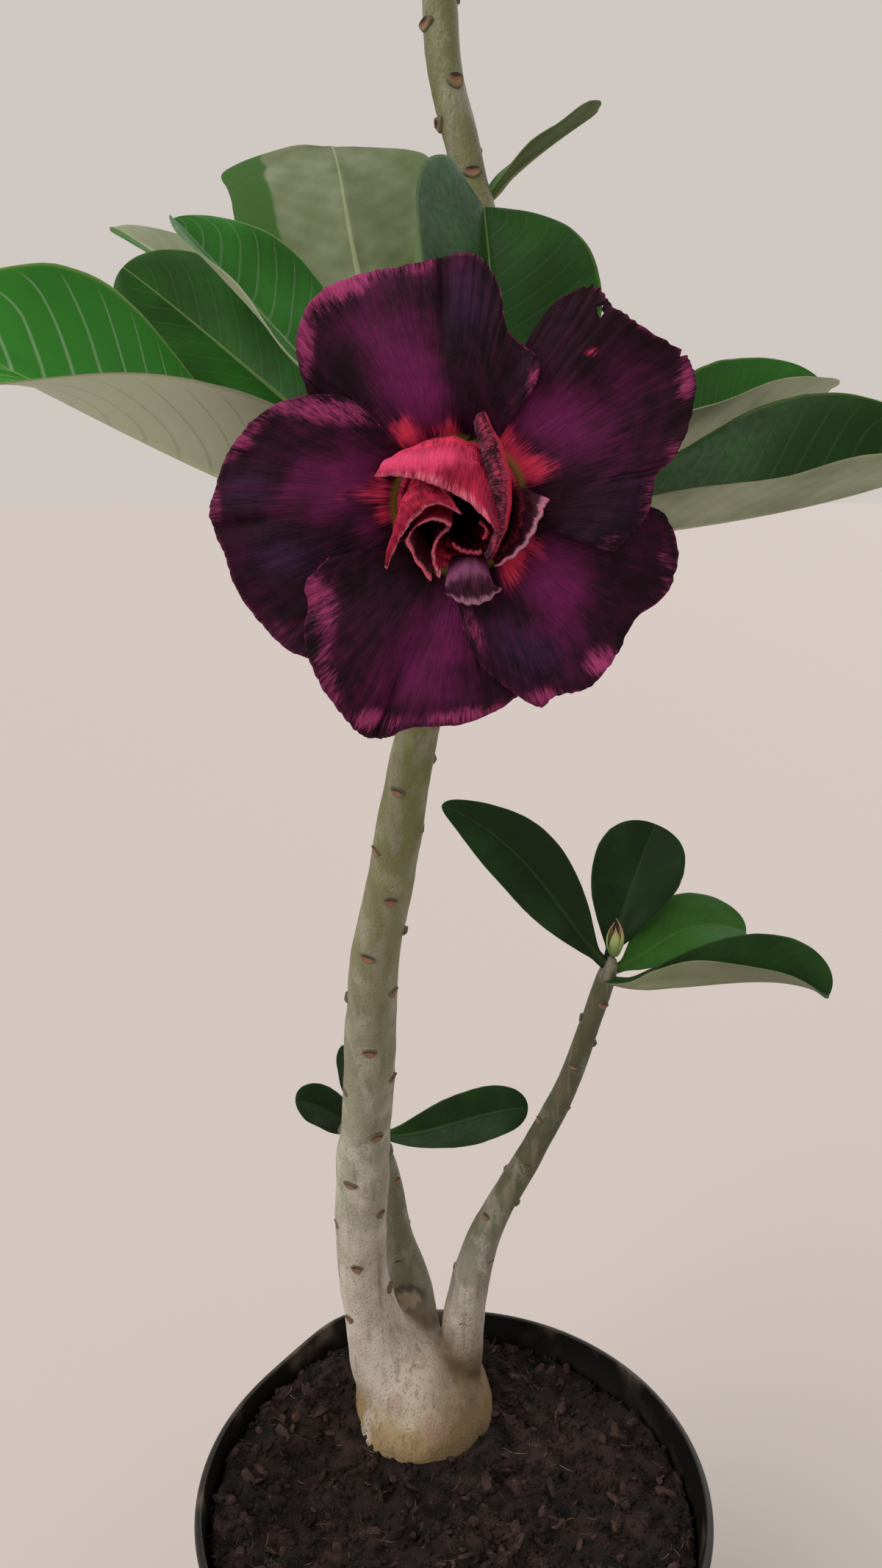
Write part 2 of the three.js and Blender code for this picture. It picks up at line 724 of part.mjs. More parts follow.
// A petal's sheet from its surface function: the surface is given its thickness along its own normals.
function petalSolid(surface, columns, rows) {
  const step = 0.02;
  const upper = [];
  const lower = [];
  for (let r = 0; r <= rows; r++) {
    upper.push([]);
    lower.push([]);
    for (let c = 0; c <= columns; c++) {
      const [a, b] = [c / columns, r / rows];
      const point = surface(a, b);
      const acrossIt = surface(Math.min(1, a + step), b).sub(surface(Math.max(0, a - step), b));
      const outOfIt = surface(a, Math.min(1, b + step)).sub(surface(a, Math.max(0, b - step)));
      const normal = acrossIt.cross(outOfIt).normalize();
      upper[r].push(point.clone().addScaledVector(normal, PETAL / 2));
      lower[r].push(point.clone().addScaledVector(normal, -PETAL / 2));
    }
  }
  const solid = toSolid(sheet(upper, lower));
  return solid.volume() < 0 ? toSolid(sheet(lower, upper)) : solid;
}

function outerCorolla() {
  const lobes = LOBES.map((lobe) => {
    const rim = new THREE.CatmullRomCurve3(lobe.rim.map(([x, y]) => new THREE.Vector3(x, y, 0)));
    return petalSolid((a, b) => lobePoint(lobe, rim, a, b), 12, 5);
  });
  return fuse([cupSolid(-4.8, -38.5, 0, 4), ...lobes]);
}

// Inner petals: sheets through a root in the throat, a crest and a free rim, each a curve across the petal.
const SECOND_PETALS = [
  {
    root: [[-5.8, 5.4, -6], [-3.4, 7.6, -6], [0, 8.5, -6], [3.4, 7.8, -6], [6.4, 5.6, -6]],
    crest: [[-11.2, 7.4, 3.4], [-7, 9.4, 3.5], [-1, 10.2, 4], [3.6, 6.4, 4.5], [6.4, -1.6, 5]],
    rim: [[-13.4, 4.6, 4.8], [-7.4, 4.2, 6], [-2, 2.2, 6.5], [2.6, -0.8, 7], [5.8, -3.6, 7.2]],
  },
  {
    root: [[5.5, -6.5, -6], [7.6, -3.8, -6], [8.5, 0, -6], [7.8, 3.4, -6], [6, 6, -6]],
    crest: [[4.8, -9, 3.2], [7.2, -4, 4], [7.9, 1.5, 4.5], [7, 8, 4], [4.2, 13.8, 3]],
    rim: [[4.2, -8, 4.6], [5.6, -4.6, 5.4], [5.4, 1.2, 5.8], [3.8, 7.4, 5.4], [2.2, 13.2, 4]],
  },
  {
    root: [[4.4, -7.3, -6], [6.5, -5.5, -6], [8, -2.9, -6], [8.5, 0, -6], [8.2, 2.2, -6]],
    crest: [[5.8, -9.2, 0.8], [8.2, -7, 0.4], [9.9, -4, 0.4], [10.3, -0.5, 0.4], [9.4, 3, 0.6]],
    rim: [[5.6, -9.6, 3.4], [8.6, -7.8, 4.2], [11, -5.4, 4.4], [12.8, -2, 4.2], [14.2, 1, 3.4]],
  },
  {
    root: [[-1.2, -8.4, -6], [0.4, -8.5, -6], [1.8, -8.3, -6], [3.2, -7.9, -6], [4.6, -7.2, -6]],
    crest: [[-2.2, -12.4, 3.4], [-0.4, -10.8, 4.4], [1.6, -10.2, 4.6], [3.6, -10.4, 4.2], [5, -11.6, 3.2]],
    rim: [[-2.2, -13.8, 2.4], [0, -15.4, 2.2], [2.2, -15.9, 2.2], [4.8, -15.1, 2.2], [6.8, -13.2, 2.4]],
  },
  {
    root: [[-3.7, 7.4, -6], [-6.1, 5.3, -6], [-8, 2.3, -6], [-8.2, -1.4, -6], [-7.1, -4.5, -6]],
    crest: [[-2.4, 3, 3], [-6, 2.6, 3], [-8.8, 1.2, 3], [-10.4, -2.6, 2.8], [-11.4, -7, 2.6]],
    rim: [[0.2, -0.8, 4.6], [-3.6, 0.4, 5], [-6.6, -1.4, 4.6], [-9.6, -5, 3.6], [-12, -10, 2.6]],
  },
];
const THIRD_PETALS = [
  {
    root: [[-1.4, 6.6, -8], [-4, 5.4, -8], [-6.4, 2, -8], [-6.6, -1.6, -8], [-5, -4.6, -8]],
    crest: [[-1.2, 0, -2.6], [-3.8, 0.4, -1.6], [-6.8, -1.6, 0], [-7.4, -5.6, 0], [-4.4, -8.2, -1]],
    rim: [[-1.2, -2.8, 1.2], [-4, -2, 2.6], [-8.2, -4.8, 3.6], [-6.8, -8.6, 3], [-4.6, -11.8, 2.4]],
  },
  {
    root: [[-2.4, 5.6, -9], [-4.6, 2.8, -9], [-5.4, -1, -9], [-4.2, -4, -9], [-2.4, -5.8, -9]],
    crest: [[-1, 0.4, -4], [-3, -1.4, -3.4], [-4.4, -4.4, -2.6], [-4.2, -7, -2.4], [-2.6, -7.8, -2.4]],
    rim: [[-1.7, -3.6, 0.2], [-3.3, -5, 1.4], [-4.2, -7.2, 1.8], [-3.9, -9.8, 1.8], [-3.3, -11.4, 1.6]],
  },
  {
    root: [[-1.2, -6.2, -9], [0.4, -6.3, -9], [2, -6, -9], [3.6, -5.2, -9]],
    crest: [[-1, -6.2, -4.6], [0.6, -6.8, -4], [2.2, -6.8, -3.8], [3.8, -6.2, -4]],
    rim: [[-1.2, -6, -0.4], [0.4, -7.1, 0.2], [2.2, -7.5, 0.6], [3.6, -7.5, 1]],
  },
  {
    root: [[5.6, -3, -9], [6.2, -1.4, -9], [6.2, 0.4, -9], [5.6, 2.4, -9]],
    crest: [[4.8, -4.4, -2.6], [5.2, -3, -2.4], [5, -1.8, -2.6], [4.4, -0.6, -3]],
    rim: [[3.9, -5.4, 0.8], [4.4, -4.2, 1.6], [4, -3.4, 1.4], [3.2, -2.8, 0.6]],
  },
];

function innerPetal(petal, columns, rows) {
  const [root, crest, rim] = [petal.root, petal.crest, petal.rim].map(
    (points) => new THREE.CatmullRomCurve3(points.map(vector)),
  );
  const surface = (across, outwards) => {
    const [low, high, last] = [root, crest, rim].map((curve) => curve.getPoint(across));
    return low
      .multiplyScalar((1 - outwards) * (1 - 2 * outwards))
      .addScaledVector(high, 4 * outwards * (1 - outwards))
      .addScaledVector(last, outwards * (2 * outwards - 1));
  };
  return petalSolid(surface, columns, rows);
}

const secondCorolla = () =>
  fuse([cupSolid(-5, -24, NESTED, 2), ...SECOND_PETALS.map((petal) => innerPetal(petal, 7, 4))]);

const thirdCorolla = () =>
  fuse([cupSolid(-7.4, -21, 2 * NESTED, 2), ...THIRD_PETALS.map((petal) => innerPetal(petal, 6, 3))]);

// The stalk and the calyx: a small cup with five teeth round the tube's base.
function calyxSolid() {
  const teeth = 5;
  const ring = (radius, depth, toothed, tipOut) =>
    Array.from({ length: 4 * teeth }, (_, i) => {
      const angle = (i * 2 * Math.PI) / (4 * teeth);
      const point = [1, 0.45, 0, 0.45][i % 4] * toothed;
      const at = THREE.MathUtils.inverseLerp(-41.2, -35, depth + point);
      const [x, y] = [-0.4, THREE.MathUtils.lerp(-6.6, -5.5, at)];
      const out = radius + tipOut * point;
      return new THREE.Vector3(x + out * Math.cos(angle), y + out * Math.sin(angle), depth + point);
    });
  return toSolid(
    loft([
      ring(1.3, -41.2, 0, 0),
      ring(1.7, -40.4, 0, 0),
      ring(3.2, -39.8, 0, 0),
      ring(4, -38, 0, 0),
      ring(4.4, -36.6, 5, 0.3),
      ring(3.7, -36.4, 5, 0.3),
      ring(3.3, -37.6, 0, 0),
      ring(2.4, -39.3, 0, 0),
    ]),
  );
}

// ---- Assembly ----

const group = new THREE.Group();
const plant = plantSolid();
const clearOfPlant = fuse(stems(CLEARANCE));

const foot = MAIN_STEM.slice(0, 6);
const soil = soilSolid().subtract(stemSolid(foot, 12, 1, CLEARANCE, FOOT_LOBES)).subtract(clearOfPlant);

group.add(
  named("pot", potSolid(), materials.pot),
  named("soil", mainBody(soil), materials.soil),
  named("plant", plant, materials.bark),
  named("shoot_bud", budSolid(), materials.bud),
);

const foliage = new THREE.Group();
for (const [name, leaf] of Object.entries(LEAVES)) {
  const small = leaf.halfWidth < 15;
  const [rows, columns] = small ? [SMALL_LEAF_ROWS, SMALL_LEAF_COLUMNS] : [LEAF_ROWS, LEAF_COLUMNS];
  const solid = leafSolid(leaf, rows, columns);
  const seated = mainBody(solid.subtract(clearOfPlant));
  foliage.add(named(`leaf_${name}`, seated, leaf.shaded ? materials.shadedLeaf : materials.leaf));
}
for (let i = 0; i < TIP_LEAVES; i++) {
  const solid = leafSolid(tipLeaf(i), SMALL_LEAF_ROWS, SMALL_LEAF_COLUMNS);
  foliage.add(named(`leaf_tip_${i + 1}`, mainBody(solid.subtract(clearOfPlant)), materials.leaf));
}
group.add(foliage);

const bloom = new THREE.Group();
bloom.position.set(BLOOM_CENTRE.x, BLOOM_CENTRE.y, BLOOM_CENTRE.z);
bloom.rotation.x = Math.PI / 2;
bloom.add(
  named("corolla_outer", outerCorolla(), materials.outerPetals),
  named("corolla_second", secondCorolla(), materials.innerPetals),
  named("corolla_third", thirdCorolla(), materials.innerPetals),
  named("calyx_stalk", calyxSolid(), materials.calyx),
);
group.add(bloom);

export default group;
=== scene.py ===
"""A potted desert rose in bloom, built in metres round the fixed frame of its solids."""
import math

import bmesh
import bpy
import numpy as np
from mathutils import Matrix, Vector, noise


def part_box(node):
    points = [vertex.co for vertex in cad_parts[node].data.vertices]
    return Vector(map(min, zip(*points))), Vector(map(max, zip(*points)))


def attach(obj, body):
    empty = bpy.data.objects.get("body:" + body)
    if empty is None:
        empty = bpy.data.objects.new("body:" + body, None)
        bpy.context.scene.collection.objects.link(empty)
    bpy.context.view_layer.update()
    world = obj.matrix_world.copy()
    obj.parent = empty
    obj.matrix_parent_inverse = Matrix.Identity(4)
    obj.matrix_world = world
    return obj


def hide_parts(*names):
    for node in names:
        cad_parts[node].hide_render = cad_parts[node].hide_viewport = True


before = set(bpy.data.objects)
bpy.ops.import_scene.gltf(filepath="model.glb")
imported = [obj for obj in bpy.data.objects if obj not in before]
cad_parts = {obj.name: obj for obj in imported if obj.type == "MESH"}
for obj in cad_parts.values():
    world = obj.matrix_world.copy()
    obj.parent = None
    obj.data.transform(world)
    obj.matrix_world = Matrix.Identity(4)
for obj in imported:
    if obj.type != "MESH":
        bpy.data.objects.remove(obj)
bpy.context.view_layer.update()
MM = 0.001

# ---- View, floor and light ----
# The camera stands close in front of the bloom, a little above it, and looks down along the stem.
# Floor: one pale matt sheet. Light: a soft window at the upper left, a weaker one far right, pale room.

CAMERA_PLACE = (-3.7 * MM, -287 * MM, 413 * MM)
CAMERA_PITCH, CAMERA_LENS = 14, 27
FLOOR_SIDE = 80.0
WINDOWS = {
    # name: where the light comes from, how soft it is in degrees, strength, colour
    "window_left": ((-1.1, -0.7, 1.1), 50, 1.6, "#fffaf5"),
    "window_behind": ((0.7, 1.0, 0.9), 60, 0.7, "#f6f8ff"),
}


def colour(code):
    """The linear colour of a hex code."""
    parts = [int(code[i : i + 2], 16) / 255 for i in (1, 3, 5)]
    return [c / 12.92 if c < 0.04045 else ((c + 0.055) / 1.055) ** 2.4 for c in parts] + [1.0]


def placed(name, data):
    """A new object in the scene, at the origin."""
    made = bpy.data.objects.new(name, data)
    bpy.context.scene.collection.objects.link(made)
    return made


def new_finish(name, **values):
    """A material and its tree, with plain values set on its shader."""
    material = bpy.data.materials.new(name)
    material.use_nodes = True
    for label, value in values.items():
        material.node_tree.nodes["Principled BSDF"].inputs[label.replace("_", " ")].default_value = value
    return material, material.node_tree


def shape(name, points, faces, finishes=(), chosen=None):
    """A smooth piece from points in millimetres; chosen gives each face the number of its finish."""
    mesh = bpy.data.meshes.new(name)
    mesh.from_pydata((np.asarray(points, float) * MM).tolist(), [], faces)
    mesh.polygons.foreach_set("use_smooth", [True] * len(mesh.polygons))
    for finish in finishes:
        mesh.materials.append(finish)
    if chosen is not None:
        mesh.polygons.foreach_set("material_index", chosen)
    mesh.update()
    return placed(name, mesh)


view = placed("camera", bpy.data.cameras.new("camera"))
view.data.lens = CAMERA_LENS
view.data.clip_start = 0.01
view.location = CAMERA_PLACE
view.rotation_euler = (math.radians(90 - CAMERA_PITCH), 0, 0)
bpy.context.scene.camera = view

for window_name, (place, softness, strength, tint) in WINDOWS.items():
    window = placed(window_name, bpy.data.lights.new(window_name, "SUN"))
    window.data.angle, window.data.energy = math.radians(softness), strength
    window.data.color = colour(tint)[:3]
    window.location = place
    window.rotation_euler = (-Vector(place)).to_track_quat("-Z", "Y").to_euler()

sky = bpy.data.worlds.new("room_light")
sky.use_nodes = True
sky.node_tree.nodes["Background"].inputs["Color"].default_value = colour("#d0c8c2")
sky.node_tree.nodes["Background"].inputs["Strength"].default_value = 1.0
bpy.context.scene.world = sky
bpy.context.scene.view_settings.view_transform = "Standard"

half_floor = FLOOR_SIDE / 2 / MM
floor_corners = [(x * half_floor, y * half_floor, 0) for x, y in ((-1, -1), (1, -1), (1, 1), (-1, 1))]
floor_finish, tree = new_finish("pale_matt_floor", Roughness=0.8, Base_Color=colour("#cbc4c0"))
floor = shape("floor", floor_corners, [(0, 1, 2, 3)], [floor_finish])

# ---- Pot ----
# A thin nursery pot, injection-moulded in one piece of black plastic, with a stepped band and a rolled
# rim. The soft rim has been pushed out a little at the back. Six round drain holes in the base.

pot_low, pot_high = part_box("pot")
RIM_RADIUS = (pot_high.x - pot_low.x) / 2 / MM
POT_HEIGHT, BASE_RADIUS, POT_WALL = 130, 50, 2.2
BAND_FOOT, BAND_STEP = POT_HEIGHT - 17, 2.5
BODY_TOP = RIM_RADIUS - BAND_STEP - 1.5
ROLL_RADIUS, LIP_RADIUS = 1.6, 0.55
RIM_PUSH = {"angle": 118, "spread": 15, "out": 3.2}
DRAIN_HOLES, DRAIN_RADIUS, DRAIN_CIRCLE = 6, 5, 36


def add(kind, inputs=None, tree=None, out=0, **settings):
    """One output of a new node, its inputs given as plain values or as links."""
    inputs = inputs or {}
    tree = tree or next(v.id_data for v in inputs.values() if isinstance(v, bpy.types.NodeSocket))
    made = tree.nodes.new(kind)
    for name, value in settings.items():
        setattr(made, name, value)
    for name, value in inputs.items():
        if isinstance(value, bpy.types.NodeSocket):
            tree.links.new(value, made.inputs[name])
        else:
            made.inputs[name].default_value = value
    return made.outputs[out]


def calc(operation, *values):
    return add("ShaderNodeMath", dict(enumerate(values)), operation=operation)


def plus(first, second):
    return calc("ADD", first, second)


def minus(first, second):
    return calc("SUBTRACT", first, second)


def times(first, *others):
    for other in others:
        first = calc("MULTIPLY", first, other)
    return first


def vector(operation, *values, **named):
    """The result of a vector node; a SCALE takes its factor by name."""
    out = "Value" if operation == "DOT_PRODUCT" else 0
    return add("ShaderNodeVectorMath", {**dict(enumerate(values)), **named}, out=out, operation=operation)


def ramp(value, low, high, start=0.0, end=1.0):
    """A value eased from start to end while the input goes from low to high."""
    inputs = {"Value": value, "From Min": low, "From Max": high, "To Min": start, "To Max": end}
    return add("ShaderNodeMapRange", inputs, interpolation_type="SMOOTHSTEP")


def mix(share, first, second, tree=None):
    """Two colours mixed; each is a hex code or a link."""
    sides = [colour(c) if isinstance(c, str) else c for c in (first, second)]
    return add("ShaderNodeMix", {0: share, 6: sides[0], 7: sides[1]}, tree, 2, data_type="RGBA")


def coats(tone, *layers):
    """A colour with more colours laid over it, each with the share that it covers."""
    for share, code in layers:
        tone = mix(share, tone, code)
    return tone


def paint(base, roughness, height, depth=0.0002, strength=0.5):
    """Link a base colour, a roughness, unless it is None, and a relief to their material's shader."""
    tree = base.id_data
    inputs = tree.nodes["Principled BSDF"].inputs
    tree.links.new(base, inputs["Base Color"])
    if roughness is not None:
        tree.links.new(roughness, inputs["Roughness"])
    bump = add("ShaderNodeBump", {"Height": height, "Distance": depth, "Strength": strength})
    tree.links.new(bump, inputs["Normal"])


def axes(place):
    return add("ShaderNodeSeparateXYZ", {0: place}).node.outputs


def own_place(tree):
    return add("ShaderNodeTexCoord", tree=tree, out="Object")


def shared_effect(name, inputs, labels, build):
    """A group of shader nodes with its inputs' plain values; build makes its outputs, by label."""
    tree = bpy.data.node_groups.new(name, "ShaderNodeTree")
    for label, value in inputs.items():
        socket = tree.interface.new_socket(label, in_out="INPUT", socket_type="NodeSocketFloat")
        socket.default_value = value
    for label in labels:
        tree.interface.new_socket(label, in_out="OUTPUT", socket_type="NodeSocketFloat")
    out = tree.nodes.new("NodeGroupOutput")
    for label, value in zip(labels, build(tree, tree.nodes.new("NodeGroupInput").outputs)):
        tree.links.new(value, out.inputs[label])
    return tree


def effect(tree, group, *values):
    """The outputs of a shared effect in a material, with its inputs set in order."""
    made = tree.nodes.new("ShaderNodeGroup")
    made.node_tree = group
    for socket, value in zip(made.inputs, values):
        socket.default_value = value
    return made.outputs


def build_grain(tree, given):
    """Fine and broad unevenness of a surface, read from the object's own coordinates."""
    stretch = add("ShaderNodeCombineXYZ", {"X": 1.0, "Y": 1.0, "Z": given["Stretch"]})
    place = vector("MULTIPLY", own_place(tree), stretch)
    fine, broad = (
        add("ShaderNodeTexNoise", {"Vector": place, "Scale": given[k], "Detail": detail})
        for k, detail in ((0, 4), (1, 5))
    )
    return fine, broad, plus(fine, times(broad, 1.5))


grain_inputs = {"Fine per metre": 900.0, "Broad per metre": 60.0, "Stretch": 1.0}
GRAIN = shared_effect("surface_grain", grain_inputs, ("Fine", "Broad", "Height"), build_grain)


def grain(tree, fine, broad, stretch=1.0):
    return effect(tree, GRAIN, fine, broad, stretch)


def plain_mesh(piece):
    """The mesh of a piece with its modifiers carried out."""
    bpy.context.view_layer.update()
    return bpy.data.meshes.new_from_object(piece.evaluated_get(bpy.context.evaluated_depsgraph_get()))


SOCKET_KINDS = {int: "Int", float: "Float", bpy.types.Object: "Object", bpy.types.Material: "Material"}


def grown(carrier, name, recipe, values):
    """The plain piece that a recipe of geometry nodes makes from a carrier, which is used up."""
    tree = bpy.data.node_groups.get(recipe.__name__)
    if not tree:
        tree = bpy.data.node_groups.new(recipe.__name__, "GeometryNodeTree")
        for in_out in ("INPUT", "OUTPUT"):
            tree.interface.new_socket("Geometry", in_out=in_out, socket_type="NodeSocketGeometry")
        for label, value in values.items():
            kind = "NodeSocket" + SOCKET_KINDS[type(value)]
            tree.interface.new_socket(label, in_out="INPUT", socket_type=kind)
        given = tree.nodes.new("NodeGroupInput").outputs
        whole = add("GeometryNodeRealizeInstances", {0: recipe(tree, given)})
        done = add("GeometryNodeSetMaterial", {"Geometry": whole, "Material": given["Finish"]})
        tree.links.new(done, tree.nodes.new("NodeGroupOutput").inputs["Geometry"])
    modifier = carrier.modifiers.new("tree", "NODES")
    modifier.node_group = tree
    sockets = {i.name: i.identifier for i in tree.interface.items_tree if i.in_out == "INPUT"}
    for label, value in values.items():
        modifier[sockets[label]] = value
    mesh = plain_mesh(carrier)
    mesh.name = name
    bpy.data.objects.remove(carrier)
    return placed(name, mesh)


def revolved(outline, sides):
    """Points and faces of an outline of (radius, height) turned about Z; its ends lie on the axis."""
    turns = np.arange(sides) * 2 * math.pi / sides
    points = [(0, 0, outline[0][1])]
    for radius, height in outline[1:-1]:
        points += [(radius * math.cos(a), radius * math.sin(a), height) for a in turns]
    points.append((0, 0, outline[-1][1]))
    rings, faces = len(outline) - 2, []
    for i in range(sides):
        j = (i + 1) % sides
        faces.append((0, 1 + j, 1 + i))
        for r in range(rings - 1):
            a, b = 1 + r * sides, 1 + (r + 1) * sides
            faces.append((a + i, a + j, b + j, b + i))
        a = 1 + (rings - 1) * sides
        faces.append((a + i, a + j, len(points) - 1))
    return np.array(points, float), faces


def eased(value, low, high):
    t = np.clip((np.asarray(value, float) - low) / (high - low), 0, 1)
    return t * t * (3 - 2 * t)


def pot_outline():
    """The pot's section, from the middle of its underside over the rim to the middle of its inside."""
    foot = [(0, 0), (BASE_RADIUS - 4, 0), (BASE_RADIUS - 0.8, 0.1), (BASE_RADIUS, 0.9)]
    wall = [(BASE_RADIUS + (BODY_TOP - BASE_RADIUS) * k, BAND_FOOT * k) for k in np.linspace(0.03, 1, 12)]
    steps = [(BODY_TOP + 0.4, 0.1), (BODY_TOP + BAND_STEP - 0.3, 0.6), (BODY_TOP + BAND_STEP, 1.2)]
    band = [(radius, BAND_FOOT + up) for radius, up in steps]
    band += [(RIM_RADIUS - 1.5, POT_HEIGHT - 6), (RIM_RADIUS - 0.9, POT_HEIGHT - 4.4)]
    middle, height = RIM_RADIUS - ROLL_RADIUS, POT_HEIGHT - ROLL_RADIUS
    roll = [
        (middle + ROLL_RADIUS * math.cos(a), height + ROLL_RADIUS * math.sin(a))
        for a in np.linspace(-1.5, 1.57, 9)
    ]
    middle, height = RIM_RADIUS - POT_WALL + LIP_RADIUS, POT_HEIGHT - LIP_RADIUS
    lip = [
        (middle - LIP_RADIUS * math.sin(a), height + LIP_RADIUS * math.cos(a))
        for a in np.linspace(0, 1.57, 5)
    ]
    inner = [(BODY_TOP + BAND_STEP - POT_WALL, BAND_FOOT + 3)]
    inner += [(radius - POT_WALL, max(z, POT_WALL)) for radius, z in wall[:0:-1]]
    inner += [(BASE_RADIUS - POT_WALL - 0.6, POT_WALL), (BASE_RADIUS - 8, POT_WALL), (0, POT_WALL)]
    return foot + wall + band + roll + lip + inner


def drain_holes(tree, given):
    ring = add("GeometryNodeMeshCircle", {"Vertices": given["Holes"], "Radius": given["Circle"]})
    drill = add("GeometryNodeMeshCylinder", {"Vertices": 24, "Radius": given["Radius"], "Depth": 0.012})
    drills = add("GeometryNodeInstanceOnPoints", {"Points": ring, "Instance": drill})
    sides = {"Mesh 1": given["Geometry"], "Mesh 2": drills}
    return add("GeometryNodeMeshBoolean", sides, operation="DIFFERENCE", solver="EXACT")


pot_finish, tree = new_finish("black_nursery_plastic", Specular_IOR_Level=0.35)
fleck = grain(tree, 2600, 45)
dust = ramp(fleck["Broad"], 0.5, 0.72)
# The rim's top is lighter: dust, and painted highlight along the lit rim line.
rim_dust_and_highlight = times(ramp(axes(own_place(tree))["Z"], 0.122, 0.13, 0.08, 0.9), dust)
splash = times(ramp(fleck["Fine"], 0.6, 0.7), 0.5, dust)
base = mix(calc("MAXIMUM", rim_dust_and_highlight, splash), "#11100e", "#6b5f54")
paint(base, ramp(dust, 0, 1, 0.38, 0.72), fleck["Height"], 0.0002, 0.35)

points, faces = revolved(pot_outline(), 160)
away = np.degrees(np.arctan2(points[:, 1], points[:, 0])) - RIM_PUSH["angle"]
push = np.exp(-((away / RIM_PUSH["spread"]) ** 2)) * eased(points[:, 2], BAND_FOOT - 4, POT_HEIGHT)
points[:, :2] *= (1 + RIM_PUSH["out"] * push / RIM_RADIUS)[:, None]
points[:, 2] += RIM_PUSH["out"] * push
values = {"Holes": DRAIN_HOLES, "Radius": DRAIN_RADIUS * MM, "Circle": DRAIN_CIRCLE * MM}
blank = shape("pot_blank", points, faces, [pot_finish])
pot = grown(blank, "pot_shell", drain_holes, {**values, "Finish": pot_finish})
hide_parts("pot")
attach(pot, "root")

# ---- Soil ----
# Dark, damp potting mix: a lumpy mound with crumbs, chips of composted bark and pale fibres lying on
# it. It fills the pot to a little below the rim and closes round the plant's foot.

FOOT_X, FOOT_Y = -10.2, 40
SOIL_TOP, SOIL_MOUND, SOIL_LUMP = 116, 6, 1.4
SOIL_WALL_TOP, SOIL_FOOT = BAND_FOOT - 4, POT_WALL + 0.3
SOIL_BANK = {"left": 8.0, "right": 3.0, "from": 40, "to": 68}
LEDGE, LEDGE_TOP = 2.4, BAND_FOOT + 3.4
SOIL_SIDES, SOIL_RINGS = 200, 76


def soil_height(x, y):
    """The mound round the foot, the bank towards the rim, and lumps and clods."""
    mound = SOIL_MOUND * math.exp(-((math.hypot(x - FOOT_X, y - FOOT_Y) / 34) ** 2))
    lumps = math.sin(x * 0.31 + 1.3 * math.sin(y * 0.17)) * math.cos(y * 0.27 + 0.8 * math.sin(x * 0.21))
    lumps += 0.6 * math.sin(x * 0.63 + 2) * math.sin(y * 0.57 + 1)
    clods = noise.fractal(Vector((x, y, 3)) / 5, 0.9, 2.1, 5)
    packed = 0.12 + 0.88 * float(eased(math.hypot(x - FOOT_X, y - FOOT_Y), 22, 32))
    bank = SOIL_BANK["right"] + (SOIL_BANK["left"] - SOIL_BANK["right"]) * float(eased(-x, -30, 20))
    bank *= float(eased(math.hypot(x, y), SOIL_BANK["from"], SOIL_BANK["to"]))
    return SOIL_TOP + mound + bank + (SOIL_LUMP * lumps + 1.3 * clods) * packed


def soil_radius(z):
    """Inner radius of the pot at a height, less a thin gap."""
    low, top = BASE_RADIUS - POT_WALL, BODY_TOP - POT_WALL
    return low + (top - low) * (z - POT_WALL) / (BAND_FOOT - 1 - POT_WALL) - 0.6


def strewn(tree, given):
    """Bits on the carrier's upper side, each turned and sized at random."""
    seed, lean = {"Seed": given["Seed"]}, given["Lean"]
    topside = {0: axes(add("GeometryNodeInputNormal", tree=tree))["Z"], 1: 0.5}
    topside = add("FunctionNodeCompare", topside, operation="GREATER_THAN")
    spread = {"Mesh": given["Geometry"], "Selection": topside, "Density": given["Per square metre"], **seed}
    spots = add("GeometryNodeDistributePointsOnFaces", spread)
    limits = {2: given["Smallest"], 3: given["Largest"], **seed}
    size = add("FunctionNodeRandomValue", limits, out=1, data_type="FLOAT")
    low = add("ShaderNodeCombineXYZ", {"X": times(lean, -1.0), "Y": times(lean, -1.0), "Z": 0.0})
    high = add("ShaderNodeCombineXYZ", {"X": lean, "Y": lean, "Z": 6.283})
    turn = add("FunctionNodeRandomValue", {0: low, 1: high, **seed}, data_type="FLOAT_VECTOR")
    bit = add("GeometryNodeObjectInfo", {"Object": given["Bit"]}, out="Geometry")
    bits = {"Points": spots, "Instance": bit, "Rotation": turn, "Scale": size}
    return add("GeometryNodeInstanceOnPoints", bits)


def lump(name, sides, rings, stretch, rough, seed):
    """A closed rough pebble shape, one millimetre across before its stretch."""
    outline = [(math.sin(a) * 0.5, -math.cos(a) * 0.5) for a in np.linspace(0, math.pi, rings)]
    points, faces = revolved([(0, -0.5)] + outline[1:-1] + [(0, 0.5)], sides)
    points = [p * (1 + rough * noise.noise(Vector(p * 2.3) + Vector((seed, 0, 0)))) for p in points]
    return shape(name, np.array(points) * stretch, faces)


def fibre():
    """A thin four-sided hair, eight millimetres long, wavy and pointed."""
    points, faces = [], []
    for k in range(9):
        middle = np.array([k - 4, 0.9 * math.sin(k * 0.6), 0.25 * math.sin(k * 0.9)])
        thick = 0.11 * (1 - abs(k - 4) / 5)
        for j in range(4):
            a = j * math.pi / 2
            points.append(middle + thick * np.array([0, math.cos(a), math.sin(a)]))
            if k:
                faces.append(tuple(4 * (k - 1) + i for i in (j, (j + 1) % 4, (j + 1) % 4 + 4, j + 4)))
    return shape("fibre", points, faces + [(3, 2, 1, 0), (32, 33, 34, 35)])


